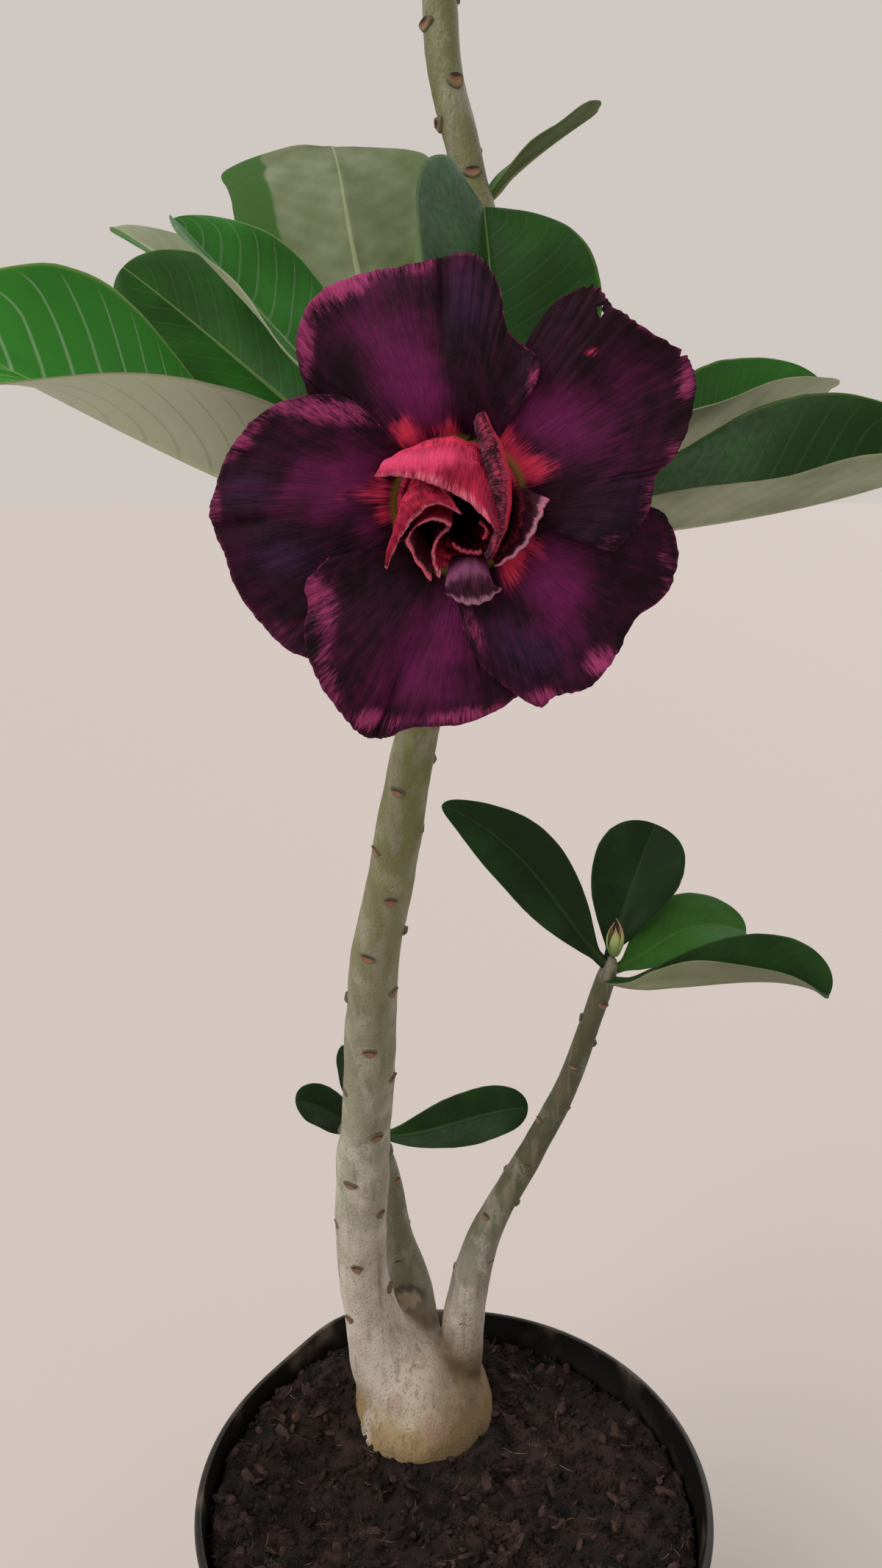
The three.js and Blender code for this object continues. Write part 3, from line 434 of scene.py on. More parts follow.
soil_finish, tree = new_finish("dark_potting_mix", Specular_IOR_Level=0.25)
crumb, damp = grain(tree, 1500, 160), grain(tree, 600, 26)
tone = coats(
    mix(ramp(crumb["Broad"], 0.35, 0.7), "#130e0d", "#3a2b28"),
    (ramp(crumb["Fine"], 0.58, 0.76), "#54423d"),
    (ramp(damp["Broad"], 0.4, 0.62, 0.55, 0.0), "#120d0c"),
)
paint(tone, ramp(crumb["Fine"], 0.3, 0.8, 0.95, 0.75), crumb["Height"], 0.0012, 0.9)
bark_finish, tree = new_finish("composted_bark_chip", Roughness=0.85, Specular_IOR_Level=0.3)
chip = grain(tree, 1100, 90)
tone = mix(ramp(chip["Broad"], 0.35, 0.7), "#1a1211", "#46322d")
paint(coats(tone, (ramp(chip["Fine"], 0.56, 0.76), "#604740")), None, chip["Height"], 0.0004, 0.7)
fibre_finish, tree = new_finish("pale_fibre", Roughness=0.8)
strand = grain(tree, 900, 120)
paint(mix(ramp(strand["Broad"], 0.4, 0.62), "#5b4433", "#9a7c5c"), None, strand["Fine"], 0.0001, 0.4)

wide = soil_radius(SOIL_WALL_TOP)
outline = [(0, SOIL_FOOT), (soil_radius(SOIL_FOOT), SOIL_FOOT), (wide, SOIL_WALL_TOP)]
outline += [(wide + 0.2, BAND_FOOT - 0.6), (wide + LEDGE, LEDGE_TOP)]
outline += [((wide + LEDGE) * (1 - k / SOIL_RINGS), SOIL_TOP) for k in range(SOIL_RINGS)] + [(0, SOIL_TOP)]
points, faces = revolved(outline, SOIL_SIDES)
for p in points:
    if p[2] == SOIL_TOP:
        p[2] = soil_height(p[0], p[1])
        if math.hypot(p[0], p[1]) > wide - 1:
            p[2] = max(p[2], LEDGE_TOP + 0.4)
soil = shape("soil_mound", points, faces, [soil_finish])

crumb_shape = lump("crumb", 7, 5, (1.3, 1.1, 0.8), 0.9, 3)
chip_shape = lump("chip", 8, 5, (4.6, 2.2, 0.9), 0.8, 8)
litter = [
    # name, bit, finish, bits a square metre, smallest, largest, lean, seed
    ("soil_crumbs", crumb_shape, soil_finish, 150000.0, 0.6, 2.3, 3.1, 11),
    ("soil_bark_chips", chip_shape, bark_finish, 22000.0, 0.35, 1.6, 0.9, 12),
    ("soil_fibres", fibre(), fibre_finish, 14000.0, 0.35, 1.1, 0.5, 13),
]
LABELS = ("Bit", "Finish", "Per square metre", "Smallest", "Largest", "Lean", "Seed")
for name, *values in litter:
    bits = grown(placed(name + "_ground", soil.data.copy()), name, strewn, dict(zip(LABELS, values)))
    bpy.data.objects.remove(values[0])
    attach(bits, "root")
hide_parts("soil")
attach(soil, "root")

# ---- Plant: swollen foot, stems and spur ----
# One grown piece. The swollen foot parts into a tall main stem that leans to the light, a short stem
# behind and a slim one on the right. The bark is tan at the foot, cream and mottled above it, and
# grey-green to olive where it is young. Each station is x, y, z and the diameter there.

MAIN_STEM = [
    (-8.5, 40, 98, 26), (-9.8, 40, 108, 43), (-10.6, 40, 120, 47.5), (-14.6, 40, 131, 39.5),
    (-20.5, 40, 141, 27), (-25, 39, 152, 19), (-27.5, 38, 166, 16.4), (-28.7, 37, 183, 15.8),
    (-27.7, 33, 210, 16.4), (-25.1, 26, 238.5, 15.2), (-23.4, 18, 266, 14.5), (-21.4, 10, 291, 13.8),
    (-16.8, 2, 315, 12.2), (-13.2, -6, 337, 11.4), (-9.4, -13, 357, 10.2), (-5, -20, 376, 9.6),
    (-1.7, -24, 392, 9.2), (2.6, -26, 423, 8.8), (4.8, -22, 449, 8.8), (4.4, -17, 466, 8.4),
    (2.5, -14, 476, 7.7), (1, -12, 484, 7.8), (-2.8, -8, 499, 7.6), (-3.9, -5, 514, 7.8),
    (-3.6, -2, 532, 7.4), (-2, 0, 548, 6.6), (-1, 1, 560, 4.4), (-0.6, 1.5, 567, 1.6),
]
MIDDLE_STEM = [
    (-8, 44, 122, 18), (-11, 48, 140, 15), (-14.4, 56, 156, 13.6), (-19, 60, 171, 11.4),
    (-21.5, 62, 190, 9), (-25.6, 62, 205, 7.6), (-27.4, 62, 213, 5.6), (-27.8, 62, 217, 2),
]
RIGHT_STEM = [
    (-2, 41, 118, 22), (2.3, 42, 136, 15.5), (4.4, 42, 159, 13), (8.5, 42, 178, 10.8),
    (15, 42, 194, 9.4), (25, 41, 214, 8.2), (34.6, 40, 236, 7.2), (40.4, 38, 256, 6.6),
    (44.6, 36.4, 272, 6.2), (46.3, 36, 278, 4.4), (46.8, 36, 280.5, 2),
]
SPUR = [
    (1.4, -24, 400, 6), (0.4, -31, 402.4, 7.4), (-0.4, -38, 403.6, 7), (-0.9, -42.5, 404.2, 5),
    (-1, -44.5, 404.4, 2.2),
]
# The bark at heights on each stem: its age, 0 at the tan foot to 1 at the olive tip, and how dark it is.
# On the right stem the darkness is its darker bark; on the middle stem, behind the main one, it is painted
# shade.
BARK = {
    "main": ([98, 125, 137, 200, 250, 310, 345, 560], [0, 0.07, 0.24, 0.36, 0.52, 0.68, 0.88, 1], [0] * 8),
    "middle": ([125, 150, 217], [0.3, 0.5, 0.6], [0.35, 0.5, 0.5]),
    "right": ([120, 150, 180, 215, 280], [0.1, 0.26, 0.45, 0.76, 0.85], [0.15, 0.05, 0.45, 0.95, 0.9]),
    "spur": ([400, 405], [0.85, 0.85], [0.2, 0.2]),
}
BARK_COLOURS = [
    (0, "#8a7350"), (0.1, "#a08a64"), (0.24, "#c6b9ac"), (0.38, "#a9a595"),
    (0.54, "#84846c"), (0.68, "#787a57"), (0.84, "#6c7044"), (1, "#6a6d47"),
]
# Painted shade in the crotches where stems meet: lowest and highest heights, and how far it reaches.
CROTCH_SHADE_FROM, CROTCH_SHADE_TO, CROTCH_SHADE_REACH = 122, 166, 4.5
KNOB_PLACE, KNOB_RADIUS = (-14.4, 48, 154), 4.2
STEM_VOXEL = 0.8


def girth_of(tree):
    return add("GeometryNodeInputNamedAttribute", {"Name": "girth"}, tree, data_type="FLOAT")


def smooth_route(given):
    route = add("GeometryNodeMeshToCurve", {"Mesh": given["Geometry"]})
    return add("GeometryNodeCurveSplineType", {"Curve": route}, spline_type="CATMULL_ROM")


def stem_along_route(tree, given):
    """A round skin along the carrier's line, with a little swelling here and there."""
    route = {"Curve": smooth_route(given), "Length": given["Step"]}
    route = add("GeometryNodeResampleCurve", route, mode="LENGTH")
    ring = add("GeometryNodeCurvePrimitiveCircle", {"Resolution": given["Sides"], "Radius": 1.0})
    skin = {"Curve": route, "Profile Curve": ring, "Scale": girth_of(tree), "Fill Caps": True}
    skin = add("GeometryNodeCurveToMesh", skin)
    knobs = add("ShaderNodeTexNoise", {"Scale": 55.0, "Detail": 2.0}, tree)
    uneven = times(minus(knobs, 0.5), times(girth_of(tree), given["Swell"]))
    lift = vector("SCALE", add("GeometryNodeInputNormal", tree=tree), Scale=uneven)
    return add("GeometryNodeSetPosition", {"Geometry": skin, "Offset": lift})


def mark(piece, name, values):
    """A named value, vector or colour for each point of a piece."""
    values = np.array(values, float)
    kinds = {1: ("FLOAT", "value"), 3: ("FLOAT_VECTOR", "vector"), 4: ("FLOAT_COLOR", "color")}
    kind, key = kinds[values.size // len(values)]
    piece.data.attributes.new(name, kind, "POINT").data.foreach_set(key, values.ravel())


def route_carrier(name, stations):
    """A line through the stations that holds each one's radius."""
    mesh = bpy.data.meshes.new(name)
    ends = [(i, i + 1) for i in range(len(stations) - 1)]
    mesh.from_pydata([tuple(c * MM for c in s[:3]) for s in stations], ends, [])
    line = placed(name, mesh)
    mark(line, "girth", [s[3] / 2 * MM for s in stations])
    return line


def merged(name, pieces):
    """Several pieces with their modifiers made one plain piece."""
    shapes, finishes = bmesh.new(), []
    for piece in pieces:
        mesh = plain_mesh(piece)
        for finish in mesh.materials:
            if finish not in finishes:
                finishes.append(finish)
        numbers = [finishes.index(finish) for finish in mesh.materials]
        for face in mesh.polygons:
            face.material_index = numbers[face.material_index]
        shapes.from_mesh(mesh)
        bpy.data.objects.remove(piece)
    bmesh.ops.delete(shapes, geom=[v for v in shapes.verts if not v.link_faces], context="VERTS")
    mesh = bpy.data.meshes.new(name)
    shapes.to_mesh(mesh)
    shapes.free()
    for finish in finishes:
        mesh.materials.append(finish)
    return placed(name, mesh)


def bark_tones(points):
    """Age and darkness of the bark at each point, blended where stems meet, with painted shade in the
    crotches, in a ring above the pale knob and on the foot's right side.
    """
    near, apart, tones = [], [], []
    for name, stem in STEMS.items():
        stem = np.array(stem, float)
        gaps = []
        for a, b in zip(stem, stem[1:]):
            run = b[:3] - a[:3]
            t = np.clip((points - a[:3]) @ run / (run @ run), 0, 1)
            away = np.linalg.norm(points - a[:3] - t[:, None] * run, axis=1)
            gaps.append(away - (a[3] + (b[3] - a[3]) * t) / 2)
        apart.append(np.clip(np.min(gaps, axis=0), 0, 60))
        near.append(np.exp(-apart[-1] / 1.5))
        heights, ages, darks = BARK[name]
        tones.append([np.interp(points[:, 2], heights, values) for values in (ages, darks)])
    weights = np.array(near)[:, None, :]
    age, dark = (np.array(tones) * weights).sum(axis=0) / weights.sum(axis=0)
    x, _, z = points.T
    crotch_shade = np.exp(-np.sort(apart, axis=0)[1] / CROTCH_SHADE_REACH) * eased(z, CROTCH_SHADE_FROM, CROTCH_SHADE_FROM + 14)
    crotch_shade *= 1 - eased(z, CROTCH_SHADE_TO - 14, CROTCH_SHADE_TO)
    reach = np.linalg.norm((points - KNOB_PLACE) / (1.25, 1.0, 0.95), axis=1) / KNOB_RADIUS
    reach += 0.12 * np.sin(x * 1.9 + z * 1.3)
    # A ring above the pale knob is painted dark: painted shade.
    above = eased(reach, 0.7, 0.95) * (1 - eased(reach, 1.0, 1.5))
    above *= eased(z, KNOB_PLACE[2] - 1, KNOB_PLACE[2] + 2)
    knob_and_shade = 1 - eased(reach, 0.45, 0.85) - above
    # The right side of the foot is painted darker: painted shade.
    right_foot_shade = eased(x, -14, 1) * (1 - eased(z, 136, 156))
    return {"bark_age": age, "bark_dark": dark, "bark_crotch_shade": crotch_shade, "bark_knob_and_shade": knob_and_shade, "bark_right_foot_shade": right_foot_shade}


def read(tree, name, out="Fac"):
    """A named value, vector or colour of the surface."""
    return add("ShaderNodeAttribute", tree=tree, out=out, attribute_name=name)


bark, tree = new_finish("desert_rose_bark", Specular_IOR_Level=0.3)
age, dark, crotch_shade, knob_and_shade, right_foot_shade = (read(tree, "bark_" + k) for k in ("age", "dark", "crotch_shade", "knob_and_shade", "right_foot_shade"))
skin, streaks = grain(tree, 1500, 130, 0.7), grain(tree, 420, 190, 0.12)
fine, broad = skin["Fine"], skin["Broad"]
tone = add("ShaderNodeValToRGB", {"Fac": plus(age, times(minus(broad, 0.5), 0.22))})
stops = tone.node.color_ramp.elements
while len(stops) < len(BARK_COLOURS):
    stops.new(0.5)
for stop, (at, code) in zip(stops, BARK_COLOURS):
    stop.position, stop.color = at, colour(code)
frost = times(ramp(broad, 0.5, 0.36), ramp(age, 0.2, 0.7, 0.65, 0.15), ramp(fine, 0.35, 0.55))
tone = coats(
    tone,
    # Darker bark on the right stem, and painted shade on the middle stem behind the main one.
    (times(dark, 0.85), "#3f4330"),
    (times(ramp(streaks["Broad"], 0.5, 0.62), ramp(age, 0.2, 0.6, 0.1, 0.55)), "#8b8777"),
    (times(ramp(streaks["Fine"], 0.52, 0.66), ramp(age, 0.1, 0.9, 0.4, 0.25)), "#5e5848"),
    (times(ramp(fine, 0.55, 0.66), ramp(age, 0.1, 0.65, 0.55, 0.3)), "#5f5a48"),
    (frost, "#cfc8bd"),
    (times(ramp(broad, 0.55, 0.66), ramp(age, 0.1, 0.5, 0.5, 0.1)), "#9c7a68"),
    # Painted shade on the foot's right side.
    (times(right_foot_shade, ramp(broad, 0.3, 0.7, 0.9, 0.5)), "#77603f"),
    # Painted shade in the crotches between stems.
    (times(crotch_shade, ramp(broad, 0.3, 0.65, 1.0, 0.6)), "#5a4931"),
    # The pale knob is the old scar's own colour; the dark ring above it is painted shade.
    (times(ramp(knob_and_shade, 0.0, 1.0), 0.8), "#a8957c"),
    (times(ramp(knob_and_shade, 0.0, -1.0), 0.7), "#372d22"),
)
paint(tone, ramp(age, 0.2, 1, 0.75, 0.5), skin["Height"], 0.0006, 0.6)

STEMS = {"main": MAIN_STEM, "middle": MIDDLE_STEM, "right": RIGHT_STEM, "spur": SPUR}
values = {"Step": 1.5 * MM, "Sides": 40, "Swell": 0.32, "Finish": bark}
limbs = [grown(route_carrier(k, s), "stem_" + k, stem_along_route, values) for k, s in STEMS.items()]
plant = merged("plant_body", limbs)
knit = plant.modifiers.new("knit", "REMESH")
knit.mode, knit.voxel_size, knit.use_smooth_shade = "VOXEL", STEM_VOXEL * MM, True
ease = plant.modifiers.new("ease", "SMOOTH")
ease.factor, ease.iterations = 0.5, 9
mesh = plain_mesh(plant)
plant.modifiers.clear()
plant.data = mesh
mesh.materials.clear()
mesh.materials.append(bark)
for label, values in bark_tones(np.array([v.co for v in mesh.vertices]) / MM).items():
    mark(plant, label, values)
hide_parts("plant")
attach(plant, "root")

# Scars: where each old leaf fell, a low shield with a dark upper edge and a rusty middle, set in a
# spiral up the stem.

GOLDEN_ANGLE = math.radians(137.5)
SCAR_WIDTH, SCAR_HEIGHT, SCAR_DEPTH, SCAR_SIDES = 4.8, 3.6, 0.34, 14
SCAR_RINGS = ((0.35, 0.55), (0.62, 0.95), (0.82, 0.85), (1.0, -0.6))  # how far out and how high
SCARS = {
    # stem: spacing, lowest and highest scar, size
    "main": (6.6, 158, 545, 1.0),
    "right": (7.4, 150, 266, 0.75),
    "middle": (8.4, 160, 205, 0.8),
}

scar_finish, tree = new_finish("leaf_scar", Roughness=0.75)
outwards, upwards, _ = axes(read(tree, "scar_place", "Vector"))
rust = mix(ramp(outwards, 0.35, 0.95), "#8d6248", "#6f6a50")
crescent = times(ramp(upwards, 0.05, 0.5), ramp(outwards, 1.0, 0.75))
paint(mix(crescent, rust, "#33261b"), None, grain(tree, 3000, 300)["Height"], 0.0002, 0.5)

points, faces, places = [(0, 0, SCAR_DEPTH * 0.4)], [], [(0, 0, 0)]
for ring, (reach, lift) in enumerate(SCAR_RINGS):
    for i in range(SCAR_SIDES):
        a = i * 2 * math.pi / SCAR_SIDES
        narrow = 1 - 0.38 * max(0, -math.sin(a))
        x, y = math.cos(a) * reach * narrow, math.sin(a) * reach * (0.8 if math.sin(a) > 0 else 1.15)
        crest = 0.8 if math.sin(a) > 0.3 and reach < 0.9 else 0
        points.append((x * SCAR_WIDTH / 2, y * SCAR_HEIGHT / 2, SCAR_DEPTH * (lift + crest * reach)))
        places.append((reach, math.sin(a) * reach, 0))
        j = (i + 1) % SCAR_SIDES
        inner, outer = 1 + (ring - 1) * SCAR_SIDES, 1 + ring * SCAR_SIDES
        faces.append((inner + j, inner + i, outer + i, outer + j) if ring else (0, 1 + i, 1 + j))
faces.append(tuple(outer + i for i in reversed(range(SCAR_SIDES))))
scar = shape("scar", points, faces)
mark(scar, "scar_place", places)


def scars_up_a_stem(tree, given):
    """Scars along the carrier's line, each a turn on from the last and lying on the bark."""
    route = {"Curve": smooth_route(given), "Length": given["Spacing"]}
    spots = add("GeometryNodeCurveToPoints", route, mode="LENGTH")
    stray = {2: -0.35, 3: 0.35, "Seed": given["Seed"]}
    stray = add("FunctionNodeRandomValue", stray, out=1, data_type="FLOAT")
    turn = times(add("GeometryNodeInputIndex", tree=tree), given["Turn"])
    angle = plus(plus(turn, given["Start"]), stray)
    flat = add("ShaderNodeCombineXYZ", {"X": calc("COSINE", angle), "Y": calc("SINE", angle), "Z": 0.0})
    along = spots.node.outputs["Tangent"]
    lean = vector("SCALE", along, Scale=vector("DOT_PRODUCT", flat, along))
    outward = vector("NORMALIZE", vector("SUBTRACT", flat, lean))
    reach = vector("SCALE", outward, Scale=times(girth_of(tree), 0.97))
    moved = add("GeometryNodeSetPosition", {"Geometry": spots, "Offset": reach})
    facing = {0: outward, 1: vector("CROSS_PRODUCT", along, outward)}
    facing = add("FunctionNodeAxesToRotation", facing, primary_axis="Z", secondary_axis="X")
    height = axes(add("GeometryNodeInputPosition", tree=tree))["Z"]
    above = add("FunctionNodeCompare", {0: height, 1: given["From"]}, operation="GREATER_THAN")
    below = add("FunctionNodeCompare", {0: height, 1: given["To"]}, operation="LESS_THAN")
    kept = add("FunctionNodeBooleanMath", {0: above, 1: below}, operation="AND")
    size = {0: (0.75, 0.7, 0.7), 1: (1.1, 1.1, 1.7), "Seed": given["Seed"]}
    size = add("FunctionNodeRandomValue", size, data_type="FLOAT_VECTOR")
    scale = vector("SCALE", size, Scale=given["Size"])
    body = add("GeometryNodeObjectInfo", {"Object": given["Scar"]}, out="Geometry")
    return add(
        "GeometryNodeInstanceOnPoints",
        {"Points": moved, "Selection": kept, "Instance": body, "Rotation": facing, "Scale": scale},
    )


for name, (spacing, lowest, highest, size) in SCARS.items():
    values = {
        "Scar": scar, "Spacing": spacing * MM, "Turn": GOLDEN_ANGLE, "Start": -1.2, "From": lowest * MM,
        "To": highest * MM, "Size": size, "Finish": scar_finish, "Seed": 5,
    }
    scars = grown(route_carrier(name, STEMS[name]), "leaf_scars_" + name, scars_up_a_stem, values)
    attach(scars, "root")
bpy.data.objects.remove(scar)

# ---- Leaves ----
# Thick glossy blades, widest past the middle and round at the tip, dark green above with sunken pale
# side veins, matt grey-green below with a raised midrib. Each is folded along its midrib and sits on a
# short stalk.

# Each row holds the midrib's cubic, then where the upper side looks, half the width, how far each half
# rises in degrees (left at the stalk and tip, then right), how the halves curl, how much they ripple,
# and how light the upper side and the underside are painted: painted light and shade for each leaf.
LEAVES = {
    "left_long": (
        [(-2, -41, 402.6), (-36, -50, 407), (-68.5, -68.5, 429), (-97, -64, 441)],
        (0, -0.3, 1), 24.5, (128, -17, -34, 76), (0, 0.05), 0.8, (0.85, 0.92),
    ),
    "left_upper": (
        [(-2, -41.5, 405), (-25, -26, 432.5), (-42, -20.5, 449), (-60.5, -19.5, 469)],
        (0.51, -0.38, 0.77), 19.5, (22, 20, 22, 20), (0.05, 0.05), 0.8, (0.5, 0.8),
    ),
    "left_back": (
        [(-1, -35, 405), (-25.5, -20.5, 420), (-51.5, -5, 444.5), (-75.5, -4.5, 462)],
        (0.1, -0.9, 0.45), 16, (20, 15, 20, 15), (-0.05, -0.05), 0.7, (0.35, 0.7),
    ),
    "left_hidden": (
        [(0, -24, 409), (-34.5, 4, 433), (-55, 20, 461), (-84.5, 21.5, 475)],
        (0.35, -0.35, 0.85), 12, (30, 25, 30, 25), (0, 0), 0.7, (0.5, 0.8),
    ),
    "top_left": (
        [(-0.5, -31, 406.5), (-25, -8, 444), (-25, 6, 484), (-31, 32, 496)],
        (-0.12, 0.9, -0.25), 27, (16, 8, 20, 10), (-0.12, -0.05), 1, (0.5, 0.3),
    ),
    "top": (
        [(1.2, -40, 406), (9, -34.5, 431.5), (7, -42, 446.5), (5, -27.5, 469.5)],
        (0, -1, 0.15), 22, (52, 48, 12, 8), (0, -0.08), 0.8, (0.2, 0.6),
    ),
    "right_upper": (
        [(1, -35, 403), (43, -30.5, 418.5), (56, -36, 421), (79, -26, 434)],
        (0, -0.1, 1), 17.5, (44, 58, 60, 28), (0.05, 0), 0.8, (0.3, 0.6),
    ),
    "right_lower": (
        [(1, -41, 401), (43.5, -48.5, 407), (63, -57.5, 408), (91.5, -57, 418)],
        (0, -0.1, 1), 21, (36, 82, 26, 18), (0, 0.05), 0.8, (0.05, 0.5),
    ),
    "edge_on": (
        [(3.2, -15, 471), (12, -12, 481), (21, -8.5, 486.8), (30.5, -3.5, 493.5)],
        (-0.57, -0.13, 0.68), 9, (15, 10, 15, 10), (0, 0), 0.3, (0.5, 0.05),
    ),
    "side_a": (
        [(45.6, 36, 277), (31.5, 33, 290), (24, 31, 316), (-4, 32, 328)],
        (0.25, -0.95, 0.25), 11.2, (20, 20, 20, 20), (0, 0), 0.5, (0.1, 0.3),
    ),
    "side_b": (
        [(45.8, 38, 278), (49.5, 45.5, 287.5), (57, 56, 303), (62.5, 61, 314)],
        (-0.2, -0.8, 0.5), 14, (14, 10, 14, 10), (0, 0), 0.5, (0.05, 0.3),
    ),
    "side_c": (
        [(46.4, 37, 275.6), (59, 39, 277.5), (66.5, 43.5, 293.5), (89.5, 49, 283)],
        (-0.1, -0.6, 0.8), 11.5, (15, 10, 15, 10), (0, 0), 0.5, (0.58, 0.3),
    ),
    "side_d": (
        [(45.2, 34.8, 273.6), (65.5, 26, 272), (89.5, 25, 284), (106.4, 20, 275)],
        (0, -0.3, 1), 13, (62, 48, 108, 26), (0, 0), 0.5, (0.25, 0.55),
    ),
    "middle_a": (
        [(-27, 61, 208), (-35, 61, 209.5), (-43, 54.5, 224), (-50.5, 53, 223.5)],
        (0.2, -0.7, 0.7), 7.2, (20, 15, 20, 15), (0, 0), 0.3, (0.05, 0.3),
    ),
    "middle_b": (
        [(-27, 63.4, 210.6), (-35.5, 75, 210), (-36, 77, 223), (-37, 80.5, 230)],
        (0.8, -0.55, 0.25), 6, (15, 10, 15, 10), (0, 0), 0.2, (0.05, 0.3),
    ),
    "middle_c": (
        [(-26, 62, 207), (-11.5, 60.5, 204), (10, 56, 220.5), (25, 56, 219.6)],
        (0.1, -0.8, 0.6), 9, (25, 15, 20, 15), (0, 0), 0.4, (0.15, 0.3),
    ),
}
# Leaves on the side and middle stems take the shaded finishes: darker copies of the same finishes, painted
# shade.
SHADED = ("side", "middle")
TWISTED = "left_hidden"  # its finishes are swapped, so its pale underside finish is on the side that looks up
# Where a blade's outline leaves the plain shape: which half, where along it, over how much, how much wider.
OUTLINES = {
    "top_left": [(1, 0.92, 0.1, 0.35), (1, 0.3, 0.25, -0.3), (-1, 0.5, 0.25, -0.3), (-1, 0.93, 0.06, 0.12)],
    "left_long": [(1, 1.0, 0.14, -0.2)],
    "side_a": [(1, 1.0, 0.2, -0.4), (-1, 1.0, 0.2, -0.4)],
}
# A half whose tip stands on past the midrib's, and how far.
EARS = {"top": (-1, 9.5), "top_left": (1, 7)}
# Blades whose margins look turned over: their underside is painted green beyond these shares of each half.
TURNED = {"top_left": (-0.76, 0.6)}
LEAF_FIT = 0.988
VEINS_A_SIDE, VEIN_SWEEP = 16, 0.2
BLADE_FROM, LEAFSTALK, BLADE_HALF = 0.08, 1.7, 0.4
LEAF_ROWS, LEAF_COLUMNS = 72, 41
TIP_LEAVES = 7


def tip_leaf(index):
    """A young leaf at the stem's tip: a golden angle on from the last, shorter and steeper."""
    angle, length, rise = index * GOLDEN_ANGLE + 0.7, 72 - 5.5 * index, math.radians(26 + 7 * index)
    base = np.array([-2.6 + 0.25 * index, -1 + 0.3 * index, 541 + 3 * index])
    out = np.array([math.cos(angle), math.sin(angle), 0])
    up = np.array([0, 0, 1])
    route = [
        base + out * length * s * math.cos(rise) + up * length * (s * math.sin(rise) - droop)
        for s, droop in ((0, 0), (0.33, -0.06), (0.67, -0.04), (1, 0.1))
    ]
    face, fold, curl = (-out[0] * 0.4, -out[1] * 0.4, 1), (22, 12, 22, 12), (-0.04, -0.04)
    return route, face, 0.21 * length, fold, curl, 0.5, (0.7, 0.7)


for i in range(TIP_LEAVES):
    LEAVES[f"tip_{i + 1}"] = tip_leaf(i)


def build_veins(tree, given):
    """Midrib, side veins and margin of a leaf from its place: across, along and distance to the rib."""
    across, along, off_rib = axes(read(tree, "leaf_place", "Vector"))
    away = calc("ABSOLUTE", across)
    midrib = ramp(calc("DIVIDE", off_rib, ramp(along, 0.05, 1.0, 1.15, 0.25)), 0.35, 1.1, 1.0, 0.0)
    flat = add("ShaderNodeCombineXYZ", {"X": away, "Y": along, "Z": off_rib})
    flat = vector("MULTIPLY", flat, (1.0, 3.0, 0.0))
    bent = add("ShaderNodeTexNoise", {"Vector": flat, "Scale": 1.6, "Detail": 0.0})
    run = minus(along, times(calc("POWER", away, 1.25), VEIN_SWEEP))
    count = plus(times(run, given["Veins a side"]), times(bent, 0.5))
    near = calc("ABSOLUTE", minus(calc("FRACT", count), 0.5))
    line = ramp(near, 0.01, ramp(away, 0.0, 1.0, 0.11, 0.05), 1.0, 0.0)
    veins = times(line, ramp(away, 0.8, 0.98, 1.0, 0.0))
    return midrib, veins, ramp(away, 0.955, 0.985), times(near, 2.0)


labels = ("Midrib", "Veins", "Margin", "Cells")
VEINS = shared_effect("leaf_veins", {"Veins a side": 16.0}, labels, build_veins)


def leaf_finish(name, dark, bright, vein, rib, vein_share, rib_share, margin, gloss, coat):
    """One side of a blade: its green from dark to bright, and how strongly veins and rib show."""
    material, tree = new_finish(name, Coat_Weight=coat, Coat_Roughness=0.2, Specular_IOR_Level=0.13)
    lines = effect(tree, VEINS, VEINS_A_SIDE)
    # The leaf's tone is painted light and shade: lighter on leaves in the light, darker on those in shade.
    tone, spots = read(tree, "leaf_light_and_shade"), grain(tree, 700, 70)
    shade = plus(tone, times(minus(spots["Broad"], 0.5), 0.6))
    shade = plus(shade, times(minus(lines["Cells"], 0.5), 0.04))
    shown = times(ramp(tone, 0.3, 0.9, 0.06, 1.0), vein_share)
    base = coats(
        mix(ramp(shade, 0.0, 1.0), dark, bright),
        (times(lines["Veins"], shown), vein),
        (times(lines["Midrib"], times(ramp(tone, 0.1, 0.8, 0.4, 1.0), rib_share)), rib),
        (times(lines["Margin"], ramp(tone, 0.1, 0.8, 0.15, 0.55)), margin),
    )
    if "underside" in name:
        across = axes(read(tree, "leaf_place", "Vector"))["X"]
        green = mix(ramp(across, -0.1, 0.1), "#64784f", "#3b6229")
        base = mix(ramp(read(tree, "leaf_turned"), 0.0, 0.05), base, green)
    relief = minus(times(spots["Fine"], 0.12), times(lines["Veins"], times(shown, 0.9)))
    paint(base, ramp(spots["Fine"], 0.3, 0.7, gloss, gloss + 0.16), relief, 0.0005, 0.5)
    return material


# name, dark, bright, vein, rib, how strongly veins and rib show, margin, roughness, coat
FINISHES = [
    ("leaf_upper_side", "#17360b", "#3b8c31", "#a3c49c", "#93ab6c", 0.55, 0.75, "#7f9652", 0.38, 0.03),
    ("leaf_underside", "#4a5c30", "#b9c0a6", "#8a9174", "#c2c69e", 0.3, 0.75, "#a2a57e", 0.55, 0.0),
    # Darker copies of the two finishes above: painted shade.
    ("shaded_leaf_upper_side", "#14290e", "#3a7427", "#456b3a", "#5f7a46", 0.08, 0.3, "#55703e", 0.42, 0.03),
    ("shaded_leaf_underside", "#5a6344", "#90947a", "#8c9276", "#939a74", 0.25, 0.5, "#7c845c", 0.55, 0.0),
]
leaf_top, leaf_under, painted_shade_top, painted_shade_under = (leaf_finish(*values) for values in FINISHES)


